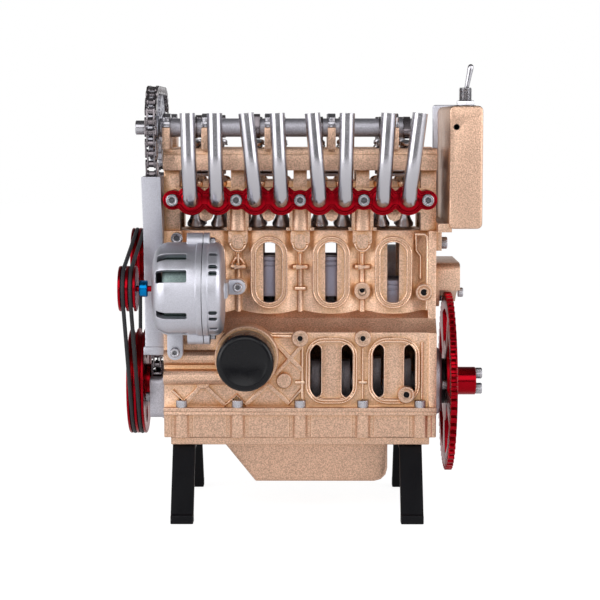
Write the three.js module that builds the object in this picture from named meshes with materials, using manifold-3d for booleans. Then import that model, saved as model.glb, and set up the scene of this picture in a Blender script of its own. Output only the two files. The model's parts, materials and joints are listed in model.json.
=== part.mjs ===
// Four cylinder, four stroke engine model: all metal, open windows, belts, chain and battery starter
// Millimetres: x along the crank towards the flywheel, y away from the exhaust side, z up
import * as THREE from "three";
import { mergeVertices } from "three/addons/utils/BufferGeometryUtils.js";
import Module from "manifold-3d";

const wasm = await Module();
wasm.setup();

// Counts
const cylinderCount = 4;
const flywheelTeeth = 64;
const hubScrews = 2;
const roundSides = 20;
const smallSides = 8;
const holeSides = 6;
const shaftSides = 10;
const boreSides = 24;
const wheelSides = 40;
const wrapSteps = 40;
const cornerSteps = 1.5;
const wideArcSteps = 3;
const flangeRingSides = 12;
const couplingSides = 18;
const nutSides = 6;
const pinionTeeth = 10;

// Driving sizes
const cylinderPitch = 28;
const boreRadius = 12.4;
const strokeLength = 10.8;
const standHeight = 33;
const panDepth = 15.4;
const crankAboveJoint = 9.6;
const deckAboveCrank = 70.8;
const headHeight = 27.1;
const carrierHeight = 9.8;
const camAboveRail = 9.1;
const camSpread = 20;
const endWall = 7;
const runningGap = 0.3;
const cutOverrun = 2;
const rootDepth = 1.3;
const roundingShare = 0.3;

// Levels and stations that follow from the driving sizes
const panJoint = standHeight + panDepth;
const crankHeight = panJoint + crankAboveJoint;
const deckHeight = crankHeight + deckAboveCrank;
const headTop = deckHeight + headHeight;
const railTop = headTop + carrierHeight;
const camHeight = railTop + camAboveRail;
const crankRadius = strokeLength / 2;
const middleStation = (cylinderCount - 1) / 2;
const cylinderStations = Array.from(
  { length: cylinderCount },
  (unused, index) => (index - middleStation) * cylinderPitch
);
const valleyStations = cylinderStations.slice(1).map((station) => station - cylinderPitch / 2);
const bulkhead = 4;
const cavityHalf = (cylinderPitch - bulkhead) / 2;
const halfLength = cylinderStations[cylinderCount - 1] + cavityHalf + endWall;

// Block
const crankcaseHalfDepth = 28;
const crankcaseWall = 3.5;
const ledgeDrop = 5.9;
const ledgeHeight = 31.5;
const shoulderHalfDepth = 22;
const shoulderRise = 3;
const barrelProud = 6.1;
const barrelCrown = 3;
const barrelHalfShare = 0.436;
const windowSlotWidth = 5.4;
const windowSlotTop = 4.7;
const windowSlotCorner = 1.2;
const windowSlotBottom = 33;
const windowRimWidth = 16.7;
const windowRimBand = 2;
const windowRimMargin = 2.1;
const windowRimProud = 1.6;
const windowRecess = 1.1;
const tongueWidth = 8.4;
const tongueLength = 9.5;
const tongueProud = 4.4;
const ovalWidth = 7.2;
const ovalHeight = 2.6;
const ovalBelowDeck = 16.5;
const rimRibRadius = 1.4;
const bossRadius = 3.6;
const bossHoleRadius = 1.3;
const bossProud = 3;
const bossBelowDeck = 27;
const bossHoleDepth = 4;
const crankWindowWidth = 22.4;
const crankWindowHeight = 29;
const crankWindowBand = 1.8;
const crankWindowProud = 1.1;
const crankWindowRecess = 1.1;
const crankWindowRise = 8.5;
const crankWindowCorner = 8;
const crankSlotWidth = 5;
const crankSlotHeight = 24.2;
const webOffset = 7;
const railFlangeProud = 3.5;
const railFlangeHeight = 1.7;
const railScrewRadius = 2.4;
const railScrewRise = 4.9;
const panScrewShares = [-0.87, -0.46, 0, 0.46, 0.88];
const crankBossRise = 23.3;
const holeInset = 1.3;
const lowBossRise = -2.1;
const lowBossInset = 13.6;
const ribHalf = 0.8;
const ribProud = 1.3;
const endFlangeThickness = 3.4;
const endFlangeHalfDepth = 22;
const frontColumnWidth = 7.8;
// Lattice ribs beside the filter: both ends as shares of half the length and of the ledge's height
const latticeShares = [
  [[-0.859, -0.171], [-0.715, 0.089]],
  [[-0.715, 0.089], [-0.551, -0.225]],
  [[-0.4, -0.222], [-0.236, 0.079]],
  [[-0.236, 0.079], [-0.082, -0.203]],
  [[-0.211, 0.73], [0.013, 0.283]],
  [[-0.18, 0.219], [0.013, 0.629]],
];
const galleryRadius = 3.2;
const galleryRise = 14.6;
const lowGalleryRadius = 3.5;
const lowGalleryRise = 5.8;
const lowGalleryProud = 1;
const filterStation = -23.7;
const filterRise = 15.5;
const filterRadius = 12.5;
const filterLength = 19.3;
const filterEdge = 1.8;
const filterBackEdge = 1.3;
const collarRadius = 13.6;
const collarLength = 10;

// Oil pan
const panWall = 2.2;
const panInset = 3;
const panStep = 3.4;
const panBossRadius = 4;
const panBossFoot = 2.2;
const sumpLeft = 35.3;
const sumpRight = 39.7;
const sumpSlope = 15;
const sumpDepth = 18.6;
const sumpHalfDepth = 20;
const sumpCorner = 6;
const sumpEdge = 2;

// Crank train
const journalRadius = 4.5;
const crankPinRadius = 3.5;
const webThickness = 4.2;
const webHalfWidth = 5.6;
const webCounter = 11;
const webCrown = 4.4;
const webHeelShare = 0.45;
const webFootShare = 0.8;
const webCrownShare = 0.6;
const rodWidth = 8;
const bigEndRadius = 6.2;
const smallEndRadius = 3.1;
const rodLength = 44.3;
const rodHalfBeam = 2.1;
const rodBeamWidth = 3.4;
const pistonHeight = 18.5;
const pistonCrown = 3.4;
const pistonWall = 2;
const pistonAbovePin = 9;
const noseRadius = 4;
const crankFlangeRadius = 6;
const crankFlangeLength = 5;
const dowelRadius = 1.2;
const dowelLength = 6.6;

// Flywheel
const flywheelRadius = 41.2;
const toothDepth = 2.4;
const ringThickness = 2.9;
const ringStation = 5.7;
const toothTipShares = [-0.2, 0.2];
const spokeCount = 5;
const slotTurnShare = 0.25;
const slotShare = 0.68;
const slotOuterRadius = 33.5;
const slotInnerRadius = 18.5;
const discRadius = 15;
const discThickness = 1.8;
const hubRadius = 6.45;
const hubEnd = 20;
const hubScrewCircle = 3.55;
const hubScrewRadius = 2.5;
const hubScrewHeight = 3.2;

// Belt drive
const beltPitch = 3.3;
const beltSize = 1.8;
const beltSideGap = 0.1;
const beltStation = 12;
const crankPulleyRadius = 24.2;
const grooveDepth = 1.9;
const pulleyRim = 1.35;
const crankHubRadius = 8;
const lighteningHoleRadius = 4;
const alternatorPulleyRadius = 9.9;
const pumpPulleyRadius = 14;
const pumpPulleyDepth = 14;
const pumpPulleyRise = 56;
const pumpShaftRadius = 2;
const lighteningHoles = 5;

// Chain drive
const chainStation = 4.4;
const chainWidth = 5.4;
const chainHalfHeight = 2.1;
const camSprocketRadius = 16.73;
const crankSprocketRadius = 8.45;
const sprocketThickness = 2.4;
const sprocketHubRadius = 5.4;
const camBoltRadius = 2.4;
const camBoltLength = 4;
const coverWall = 1.1;
const coverClearance = 0.35;
const coverFoot = 15.1;
const coverTop = 95.4;
const coverHalfWidths = [24, 27.2, 29.6, 38.5];
const coverLevelShares = [0, 0.4, 0.66, 1];
const coverLip = 3.6;
const coverLipProud = 0.8;

// Bearing housings
const frontHousingArm = 8;
const housingChainGap = 1.6;
const frontHousingRise = 4;
const frontHousingDrop = 14.3;
const rearHousingRadius = 15.5;
const rearHousingLength = 3.8;
const housingCorner = 2.6;
const rearHousingEdge = 1.3;

// Cylinder head
const headHalfDepth = 20.5;
const pillarWidth = 9.8;
const pillarDepth = 9;
const upperPillarWidth = 6;
const beamRise = 8.2;
const beamHeight = 11;
const beamCrown = 3;
const beamCrownHalfDepth = 14;
const portRise = 14.4;
const portOffset = 5.7;
const portBossRadius = 5.2;
const portBossReach = 13.5;
const intakeBossReach = 5;
const portRadius = 2.5;
const portDepth = 8;
const flangeScrewRadius = 4.3;
const flangeScrewInset = 0.65;
const plugBossRadius = 3;
const plugBossRise = 7.4;
const plugBossReach = 6;

// Exhaust flange and pipes
const flangeThickness = 3;
const flangePortRadius = 6.7;
const flangeBarHalf = 3.6;
const pipeRadius = 3.3;
const pipeWall = 0.7;
const pipeBend = 5;
const pipeLead = 2;
const pipeSweep = 34;
const tightShare = 0.66;
const pipeTopAbovePort = 37.9;
const pipeSteps = 4;
const bendSteps = 2;
const sweepSteps = 2;
const pipeLeans = [-0.8, -0.5, -3.5, -1.5, -2.9, 0.7, 2, 4.1];

// Valves and camshafts
const valveOffset = 5.4;
const valveDepth = 5.2;
const valveRise = 2;
const valveDiscRadius = 4.2;
const valveDiscEdge = 0.8;
const valveCone = 5;
const valveStemRadius = 1.1;
const tappetRadius = 2.5;
const tappetHeight = 1.6;
const stemClearance = 0.45;
const bridgeThickness = 1.5;
const bridgeMargin = 2;
const bridgeHalfDepth = 1.9;
const bridgeBelowTop = 1;
const camTubeRadius = 4.1;
const lobeBase = 4.5;
const lobeLift = 1.6;
const lobeNose = 2.2;
const lobeWidth = 3.2;
const lobeAngleShares = [0.06, 0.31, -0.19, 0.56];
const intakeAngleShares = [0.34, 0.59, 0.09, -0.16];

// Cam carrier
const railOuter = 25.5;
const railInner = 11;
const railChamfer = 3;
const crossBarHeight = 6;
const towerThickness = 3.2;
const towerFootWidth = 5.2;
const towerCapRadius = 6.2;

// Alternator
const alternatorDepth = 48;
const alternatorRise = 47.2;
const alternatorRadius = 20.2;
const alternatorEnd = 2.7;
const alternatorSplit = 19.2;
const alternatorBack = 29.4;
const alternatorWall = 2.4;
const alternatorShoulder = 6;
const alternatorBackShoulder = 3;
const splitGap = 0.3;
const bandProud = 0.5;
const ventWidth = 4.6;
const ventLength = 12.5;
const rearVentLength = 4.6;
const frontVentInset = 4.8;
const rearVentInset = 3.4;
const frontLugLength = 7.2;
const ventAngleShares = [0.142, 0.05, -0.094, -0.2, 0.3, 0.42];
const lugRadius = 4.3;
const lugReach = 4.2;
const alternatorShaftRadius = 1.3;
const alternatorShaftReach = 4.8;
const alternatorRearBore = 2.6;
const alternatorWebInset = 3.9;
const couplingRadius = 3.6;
const couplingLength = 3.6;
const couplingStation = 7;
const earWidth = 7;
const earThickness = 5.6;
const earStation = -27.6;
const earRise = 45.8;
const earBossProud = 4.9;
const strapInset = 4.8;
const strapRise = 17.6;
const strapThickness = 4;
const strapStandOff = 3.4;

// Battery box and switch
const boxGap = 4.4;
const boxWidth = 14.8;
const boxHalfDepth = 36;
const boxFoot = 1.65;
const boxTop = 55.6;
const boxWall = 1.6;
const boxCorner = 2.2;
const boxEdge = 1;
const boxCoverThickness = 2;
const boxCoverOverlap = 2.4;
const boxShelf = 1.6;
const boxTabThickness = 3.4;
const boxTabDrop = 11.5;
const boxTabWidth = 12;
const boxTabDepth = -3;
const jackRadius = 1.35;
const jackInset = 3.1;
const jackBelowTop = 9.3;
const switchDepth = -20;
const switchInset = 8.2;
const nutRadius = 4.3;
const nutHeight = 2.4;
const bushingRadius = 2.9;
const bushingHeight = 8.1;
const bushingBore = 2.1;
const bushingFloor = 4;
const bushingTaper = 0.65;
const leverPivotRise = 5.4;
const leverLength = 13.3;
const leverRadius = 1.35;
const leverFootRadius = 0.9;
const leverTiltShare = 0.03;

// Starter
const motorDepth = 34;
const motorRise = 50;
const motorRadius = 11;
const motorLength = 34;
const motorCorner = 1.5;
const pinionDepth = 23.7;
const pinionRise = 37.9;
const pinionRadius = 3.3;
const pinionLength = 3;
const pinionShaftRadius = 1.2;
const pinionRootShare = 0.74;
const gearboxLength = 6;
const bracketThickness = 3;
const bracketReach = 12.4;
const bracketTop = 54.7;
const bracketFoot = 34.5;
const bracketFront = -3;
const bracketBack = 46;
const bracketCorner = 4;
const bracketOuterWall = 2.4;
const ringClearance = 1.2;

// Stands
const standWidth = 10.1;
const standLeft = -57.4;
const standRight = 44.7;
const standStrip = 3;
const standShoulder = 26;
const standFootSpread = 44;
const standFootHeight = 4;
const standFootLength = 6;

// Colours of the finishes
const champagne = { color: 0xc9a183, roughness: 0.38, metalness: 1 };
const satinSilver = { color: 0xc4c4ca, roughness: 0.35, metalness: 1 };
const castGrey = { color: 0x8e8c92, roughness: 0.55, metalness: 1 };
const polishedSteel = { color: 0xb9bac0, roughness: 0.15, metalness: 1 };
const darkSteel = { color: 0x4b474c, roughness: 0.35, metalness: 1 };
const redAnodised = { color: 0x9c0a1f, roughness: 0.3, metalness: 0.8 };
const blueAnodised = { color: 0x0a66a8, roughness: 0.3, metalness: 0.8 };
const blackSatin = { color: 0x0b0b10, roughness: 0.5, metalness: 0.3 };
const blackRubber = { color: 0x101012, roughness: 0.8, metalness: 0 };
const pistonGrey = { color: 0x7c7888, roughness: 0.6, metalness: 1 };

// A solid from a closed geometry, turned right side out where its profile ran backwards
function solid(geometry) {
  geometry.deleteAttribute("normal");
  geometry.deleteAttribute("uv");
  const merged = mergeVertices(geometry);
  const corners = merged.index.array;
  const build = (flip) => {
    const triangles = [];
    for (let i = 0; i < corners.length; i += 3) {
      const [a, b, c] = [corners[i], corners[i + 1], corners[i + 2]];
      if (a !== b && b !== c && c !== a) triangles.push(...(flip ? [a, c, b] : [a, b, c]));
    }
    return new wasm.Manifold(
      new wasm.Mesh({
        numProp: 3,
        vertProperties: merged.attributes.position.array,
        triVerts: new Uint32Array(triangles),
      })
    );
  };
  const made = build(false);
  return made.volume() < 0 ? build(true) : made;
}

// One solid from many
function join(solids) {
  return solids.reduce((whole, next) => whole.add(next));
}

// The first solid without the others
function cut(body, tools) {
  return tools.reduce((whole, tool) => whole.subtract(tool), body);
}

// A geometry back from a solid
function geometryOf(made) {
  const mesh = made.getMesh();
  const indexed = new THREE.BufferGeometry();
  indexed.setAttribute("position", new THREE.BufferAttribute(mesh.vertProperties, 3));
  indexed.setIndex(new THREE.BufferAttribute(mesh.triVerts, 1));
  const geometry = indexed.toNonIndexed();
  geometry.computeVertexNormals();
  return geometry;
}

// Lays a geometry that was made along its own z on the named axis: the flat plane is y z, x z or x y
function layOn(geometry, axis) {
  const x = new THREE.Vector3(1, 0, 0);
  const y = new THREE.Vector3(0, 1, 0);
  const z = new THREE.Vector3(0, 0, 1);
  if (axis === "x") geometry.applyMatrix4(new THREE.Matrix4().makeBasis(y, z, x));
  if (axis === "y") geometry.applyMatrix4(new THREE.Matrix4().makeBasis(x, z, y.negate()));
  return geometry;
}

// A shape pushed along an axis from one station to another
function prism(axis, shape, from, to, options = {}) {
  const settings = { depth: to - from, bevelEnabled: false, curveSegments: cornerSteps, ...options };
  const geometry = new THREE.ExtrudeGeometry(shape, settings);
  geometry.translate(0, 0, axis === "y" ? -to : from);
  return solid(layOn(geometry, axis));
}

// A round bar along an axis, straight or tapered; across gives the two other coordinates of its axis
function bar(axis, across, radius, from, to, sides = roundSides, endRadius = radius) {
  const radii = axis === "y" ? [radius, endRadius] : [endRadius, radius];
  const geometry = new THREE.CylinderGeometry(...radii, to - from, sides);
  geometry.rotateX(Math.PI / 2);
  const middle = (from + to) / 2;
  geometry.translate(across[0], across[1], axis === "y" ? -middle : middle);
  return solid(layOn(geometry, axis));
}

// A turned piece: its profile is pairs of radius and station along the axis
function turned(axis, across, profile, sides = roundSides) {
  const sign = axis === "y" ? -1 : 1;
  const points = profile.map(([radius, along]) => new THREE.Vector2(radius, along * sign));
  const geometry = new THREE.LatheGeometry(points, sides);
  geometry.rotateX(Math.PI / 2);
  geometry.translate(across[0], across[1], 0);
  return solid(layOn(geometry, axis));
}

// A block between two corners
function slab(x, y, z) {
  const geometry = new THREE.BoxGeometry(x[1] - x[0], y[1] - y[0], z[1] - z[0]);
  geometry.translate((x[0] + x[1]) / 2, (y[0] + y[1]) / 2, (z[0] + z[1]) / 2);
  return solid(geometry);
}

// Flat shapes
function polygon(points) {
  return new THREE.Shape(points.map(([u, v]) => new THREE.Vector2(u, v)));
}

function roundedBox(u, v, radius) {
  const shape = new THREE.Shape();
  const quarter = Math.PI / 2;
  shape.absarc(u[1] - radius, v[0] + radius, radius, -quarter, 0);
  shape.absarc(u[1] - radius, v[1] - radius, radius, 0, quarter);
  shape.absarc(u[0] + radius, v[1] - radius, radius, quarter, 2 * quarter);
  shape.absarc(u[0] + radius, v[0] + radius, radius, 2 * quarter, 3 * quarter);
  return shape;
}

function stadium(centre, width, low, high) {
  return roundedBox([centre - width / 2, centre + width / 2], [low, high], width / 2);
}

// The tight loop round circles of the y z plane, offset outwards
function wrapPoints(circles, offset) {
  const points = [];
  for (let step = 0; step < wrapSteps; step += 1) {
    const angle = (2 * Math.PI * step) / wrapSteps;
    const reach = ({ y, z, radius }) => y * Math.cos(angle) + z * Math.sin(angle) + radius;
    const circle = circles.reduce((best, next) => (reach(next) > reach(best) ? next : best));
    const radius = circle.radius + offset;
    points.push(
      new THREE.Vector2(circle.y + radius * Math.cos(angle), circle.z + radius * Math.sin(angle))
    );
  }
  return points;
}

function bandSolid(circles, inner, outer, from, to) {
  const shape = new THREE.Shape(wrapPoints(circles, outer));
  shape.holes.push(new THREE.Path(wrapPoints(circles, inner)));
  return prism("x", shape, from, to);
}

// The scene graph
const engine = new THREE.Group();

function add(name, made, finish, parent = engine) {
  const material = new THREE.MeshStandardMaterial(finish);
  const mesh = new THREE.Mesh(made.isBufferGeometry ? made : geometryOf(made), material);
  mesh.name = name;
  parent.add(mesh);
  return mesh;
}

function pivot(name, position, parent = engine) {
  const group = new THREE.Group();
  group.name = name;
  group.position.set(...position);
  parent.add(group);
  return group;
}

// Cylinder block
function barrelOutline() {
  const half = barrelHalfShare * cylinderPitch;
  const depth = boreRadius + barrelProud - barrelCrown;
  const radius = (half * half + barrelCrown * barrelCrown) / (2 * barrelCrown);
  const swing = Math.asin(half / radius);
  const shape = new THREE.Shape();
  shape.moveTo(-halfLength, -depth);
  for (const station of cylinderStations) {
    const quarter = Math.PI / 2;
    shape.absarc(station, -depth + radius - barrelCrown, radius, -quarter - swing, -quarter + swing);
  }
  shape.lineTo(halfLength, -depth);
  shape.lineTo(halfLength, depth);
  for (const station of [...cylinderStations].reverse()) {
    const quarter = Math.PI / 2;
    shape.absarc(station, depth - radius + barrelCrown, radius, quarter - swing, quarter + swing);
  }
  shape.lineTo(-halfLength, depth);
  return shape;
}

const barrelFace = boreRadius + barrelProud;
const valleyFace = barrelFace - barrelCrown;
const ledgeTop = crankHeight + ledgeHeight;
const slotTop = deckHeight - windowSlotTop;
const slotBottom = deckHeight - windowSlotBottom;

function windowRim(station, side) {
  const faces = [side * (barrelFace + windowRimProud), side * (boreRadius + windowRimBand)];
  const low = slotBottom - windowRimMargin;
  const high = slotTop + windowRimMargin;
  return prism("y", stadium(station, windowRimWidth, low, high), Math.min(...faces), Math.max(...faces));
}

function windowPocket(station, side) {
  const width = windowRimWidth - 2 * windowRimBand;
  const low = slotBottom - windowRimMargin + windowRimBand;
  const high = slotTop + windowRimMargin - windowRimBand;
  const floor = valleyFace + windowRecess;
  const faces = [side * floor, side * (barrelFace + 2 * cutOverrun)];
  return prism("y", stadium(station, width, low, high), Math.min(...faces), Math.max(...faces));
}

function tongue(station, side) {
  const outer = valleyFace + tongueProud;
  const faces = [side * outer, side * (valleyFace - rootDepth)];
  const low = deckHeight - tongueLength;
  const shape = new THREE.Shape();
  shape.absarc(station, low + tongueWidth / 2, tongueWidth / 2, Math.PI, 2 * Math.PI);
  shape.lineTo(station + tongueWidth / 2, deckHeight);
  shape.lineTo(station - tongueWidth / 2, deckHeight);
  return prism("y", shape, Math.min(...faces), Math.max(...faces));
}

function valleyOval(station, side) {
  const centre = deckHeight - ovalBelowDeck;
  const outer = barrelFace + ribProud;
  const faces = [side * outer, side * (valleyFace - rootDepth)];
  const shape = new THREE.Shape();
  shape.absellipse(station, centre, ovalWidth / 2, ovalHeight / 2, 0, 2 * Math.PI);
  return prism("y", shape, Math.min(...faces), Math.max(...faces));
}

function screwBoss(x, z, face, proud = bossProud) {
  return bar("y", [x, z], bossRadius, -face - proud, -face + 2 * rootDepth, shaftSides);
}

function screwHole(x, z, face, proud = bossProud) {
  const mouth = -face - proud;
  return bar("y", [x, z], bossHoleRadius, mouth - cutOverrun, mouth + bossHoleDepth, smallSides);
}

// A straight raised rib on the front of the crankcase
function rib(from, to, face) {
  const run = new THREE.Vector2(to[0] - from[0], to[1] - from[1]);
  const side = new THREE.Vector2(-run.y, run.x).setLength(ribHalf);
  const shape = polygon([
    [from[0] + side.x, from[1] + side.y],
    [from[0] - side.x, from[1] - side.y],
    [to[0] - side.x, to[1] - side.y],
    [to[0] + side.x, to[1] + side.y],
  ]);
  return prism("y", shape, -face - ribProud, -face + rootDepth);
}

function crankWindowShape(station, inset) {
  const half = crankWindowWidth / 2 - inset;
  const middle = crankHeight + crankWindowRise;
  const high = crankWindowHeight / 2 - inset;
  return roundedBox(
    [station - half, station + half],
    [middle - high, middle + high],
    crankWindowCorner - inset
  );
}

function cylinderBlock() {
  const face = crankcaseHalfDepth;
  const ledgeFoot = ledgeTop - ledgeDrop;
  const crankcase = polygon([
    [-face, panJoint],
    [face, panJoint],
    [face, ledgeFoot],
    [shoulderHalfDepth, ledgeTop],
    [valleyFace, ledgeTop + shoulderRise],
    [-valleyFace, ledgeTop + shoulderRise],
    [-shoulderHalfDepth, ledgeTop],
    [-face, ledgeFoot],
  ]);
  const frontWindows = cylinderStations.slice(cylinderCount / 2);
  const crankBossHeight = crankHeight + crankBossRise;
  const lowBoss = [halfLength - lowBossInset, crankHeight + lowBossRise];
  const flangeFace = face + railFlangeProud;
  const bossHeight = deckHeight - bossBelowDeck;
  const wallInner = face - crankcaseWall;
  const endBoss = halfLength - bossRadius - holeInset;
  const frontBosses = [
    [valleyStations[2], bossHeight, valleyFace],
    [endBoss, bossHeight, valleyFace],
    [valleyStations[1], crankBossHeight, face],
    [valleyStations[2], crankBossHeight, face],
    [...lowBoss, face],
  ];
  const outside = [
    prism("x", crankcase, -halfLength, halfLength),
    prism("z", barrelOutline(), ledgeTop - ledgeDrop, deckHeight, { curveSegments: wideArcSteps }),
    slab([-halfLength, halfLength], [-flangeFace, flangeFace], [panJoint, panJoint + railFlangeHeight]),
  ];
  for (const station of cylinderStations) outside.push(windowRim(station, -1));
  for (const side of [-1, 1]) {
    for (const station of valleyStations) outside.push(tongue(station, side));
    for (const share of panScrewShares) {
      const across = [share * halfLength, side * (flangeFace - railScrewRadius)];
      outside.push(
        bar("z", across, railScrewRadius, panJoint, panJoint + railScrewRise, shaftSides)
      );
    }
  }
  for (const station of valleyStations) {
    const low = ledgeTop - rootDepth;
    outside.push(valleyOval(station, -1));
    const high = deckHeight - tongueLength;
    outside.push(bar("z", [station, -valleyFace], rimRibRadius, low, high, smallSides));
  }
  for (const station of frontWindows) {
    outside.push(prism("y", crankWindowShape(station, 0), -face - crankWindowProud, -face + rootDepth));
  }
  for (const [x, z, plane] of frontBosses) outside.push(screwBoss(x, z, plane));
  for (const run of latticeShares) {
    const [from, to] = run.map(([along, up]) => [along * halfLength, crankHeight + up * ledgeHeight]);
    outside.push(rib(from, to, face));
  }
  const endFlanges = [
    [-halfLength, frontColumnWidth - halfLength],
    [halfLength - endFlangeThickness, halfLength],
  ];
  for (const span of endFlanges) {
    outside.push(slab(span, [-endFlangeHalfDepth, 0], [panJoint, deckHeight]));
  }
  outside.push(slab(endFlanges[1], [-face - ribProud, 0], [panJoint, ledgeFoot]));
  const galleryEnd = filterStation - filterRadius / 2;
  const filterAxis = [filterStation, crankHeight + filterRise];
  const earAxis = [earStation, crankHeight + earRise];
  const strapAxis = [-halfLength - alternatorEnd + strapInset + earWidth / 2, crankHeight + strapRise];
  const lowGalleryAxis = [-face - lowGalleryProud, crankHeight + lowGalleryRise];
  const root = -face + rootDepth;
  const barrelRoot = -valleyFace + rootDepth;
  outside.push(
    bar("x", [-face, crankHeight + galleryRise], galleryRadius, -halfLength, galleryEnd, shaftSides),
    bar("x", lowGalleryAxis, lowGalleryRadius, -halfLength, galleryEnd, shaftSides),
    bar("y", filterAxis, collarRadius, -face - collarLength, root, boreSides),
    bar("y", earAxis, bossRadius, -valleyFace - earBossProud, barrelRoot),
    bar("y", strapAxis, bossRadius, -face - strapStandOff, root, shaftSides)
  );
  const hollows = [];
  for (const station of cylinderStations) {
    hollows.push(
      bar("z", [station, 0], boreRadius, crankHeight, deckHeight + cutOverrun, boreSides),
      prism(
        "y",
        roundedBox(
          [station - windowSlotWidth / 2, station + windowSlotWidth / 2],
          [slotBottom, slotTop],
          windowSlotCorner
        ),
        -barrelFace - 2 * cutOverrun,
        barrelFace + 2 * cutOverrun
      ),
      prism(
        "x",
        polygon([
          [-wallInner, panJoint - cutOverrun],
          [wallInner, panJoint - cutOverrun],
          [wallInner, ledgeFoot - crankcaseWall],
          [boreRadius, ledgeTop - crankcaseWall],
          [-boreRadius, ledgeTop - crankcaseWall],
          [-wallInner, ledgeFoot - crankcaseWall],
        ]),
        station - cavityHalf,
        station + cavityHalf
      )
    );
    hollows.push(windowPocket(station, -1));
  }
  for (const station of frontWindows) {
    const floor = crankWindowShape(station, crankWindowBand);
    const mouth = -face - crankWindowProud - cutOverrun;
    hollows.push(prism("y", floor, mouth, -face + crankWindowRecess));
    const middleOfSlot = crankHeight + crankWindowRise;
    const slotEnds = [middleOfSlot - crankSlotHeight / 2, middleOfSlot + crankSlotHeight / 2];
    for (const side of [-1, 1]) {
      const slot = stadium(station + side * webOffset, crankSlotWidth, ...slotEnds);
      hollows.push(prism("y", slot, mouth, -wallInner + cutOverrun));
    }
  }
  const bearing = journalRadius + runningGap;
  const pumpHole = pumpShaftRadius + runningGap;
  const pumpAxis = [pumpPulleyDepth, crankHeight + pumpPulleyRise];
  hollows.push(
    bar("x", [0, crankHeight], bearing, -halfLength - cutOverrun, halfLength + cutOverrun, shaftSides),
    bar("x", pumpAxis, pumpHole, -halfLength - cutOverrun, -halfLength + endWall - cutOverrun, smallSides)
  );
  const holes = frontBosses.map(([x, z, plane]) => screwHole(x, z, plane));
  const hollowed = cut(join(outside), hollows);
  return cut(join([hollowed, screwBoss(...lowBoss, face)]), holes);
}

// Oil pan: a rail with screw bosses, a shallow floor and a deep sump
function sumpShape(inset) {
  const left = -sumpLeft + inset;
  const right = sumpRight - inset;
  const floor = standHeight - sumpDepth + inset;
  const corner = sumpCorner - inset;
  const shape = new THREE.Shape();
  const top = standHeight + panStep;
  shape.moveTo(left, top);
  shape.lineTo(left, standHeight);
  shape.lineTo(left + sumpSlope, floor + inset);
  shape.lineTo(left + sumpSlope + corner, floor);
  shape.absarc(right - corner, floor + corner, corner, -Math.PI / 2, 0);
  shape.lineTo(right, top);
  return shape;
}

function oilPan() {
  const railFace = crankcaseHalfDepth + railFlangeProud;
  const floorTop = standHeight + panStep;
  const insideFace = crankcaseHalfDepth - crankcaseWall;
  const insideEnd = halfLength - endWall;
  const floorFace = railFace - panInset;
  const sideFace = railFace - panBossFoot;
  const parts = [
    slab([-halfLength, halfLength], [-sideFace, sideFace], [floorTop, panJoint]),
    slab(
      [-halfLength, halfLength],
      [-railFace, railFace],
      [panJoint - railFlangeHeight, panJoint]
    ),
    slab([-halfLength + panInset, halfLength - panInset], [-floorFace, floorFace], [standHeight, floorTop]),
    prism("y", sumpShape(0), -sumpHalfDepth + sumpEdge, sumpHalfDepth - sumpEdge, {
      bevelEnabled: true,
      bevelThickness: sumpEdge,
      bevelSize: sumpEdge,
      bevelOffset: -sumpEdge,
      bevelSegments: 2,
    }),
  ];
  for (const side of [-1, 1]) {
    for (const share of panScrewShares) {
      const across = [share * halfLength, side * (railFace - panBossRadius)];
      parts.push(bar("z", across, panBossRadius, floorTop, panJoint, shaftSides));
    }
  }
  const hollows = [
    slab([-insideEnd, insideEnd], [-insideFace, insideFace], [floorTop, panJoint + cutOverrun]),
    slab(
      [-insideEnd, insideEnd],
      [-insideFace, insideFace],
      [standHeight + panWall, floorTop + cutOverrun]
    ),
    prism("y", sumpShape(panWall), -sumpHalfDepth + panWall, sumpHalfDepth - panWall),
  ];
  return cut(join(parts), hollows);
}

// Crankshaft: journals, webs with counterweights, pins, front nose and rear flange
const crankAngles = cylinderStations.map((station, index) =>
  index === 0 || index === cylinderCount - 1 ? -1 : 1
);

function webSolid(station, up) {
  const heel = -webCounter * webHeelShare;
  const footHalf = webHalfWidth * webFootShare;
  const crownHalf = webHalfWidth * webCrownShare;
  const outline = [
    [-webHalfWidth, heel],
    [-footHalf, -webCounter],
    [footHalf, -webCounter],
    [webHalfWidth, heel],
    [webHalfWidth, crankRadius],
    [crownHalf, crankRadius + webCrown],
    [-crownHalf, crankRadius + webCrown],
    [-webHalfWidth, crankRadius],
  ];
  const shape = polygon(outline.map(([y, z]) => [y * up, z * up]));
  return prism("x", shape, station - webThickness / 2, station + webThickness / 2);
}

const rearFlangeStart = halfLength + runningGap;
const rearFlangeEnd = rearFlangeStart + crankFlangeLength;
const noseEnd = -halfLength - beltStation - beltPitch - beltSize;

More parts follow.
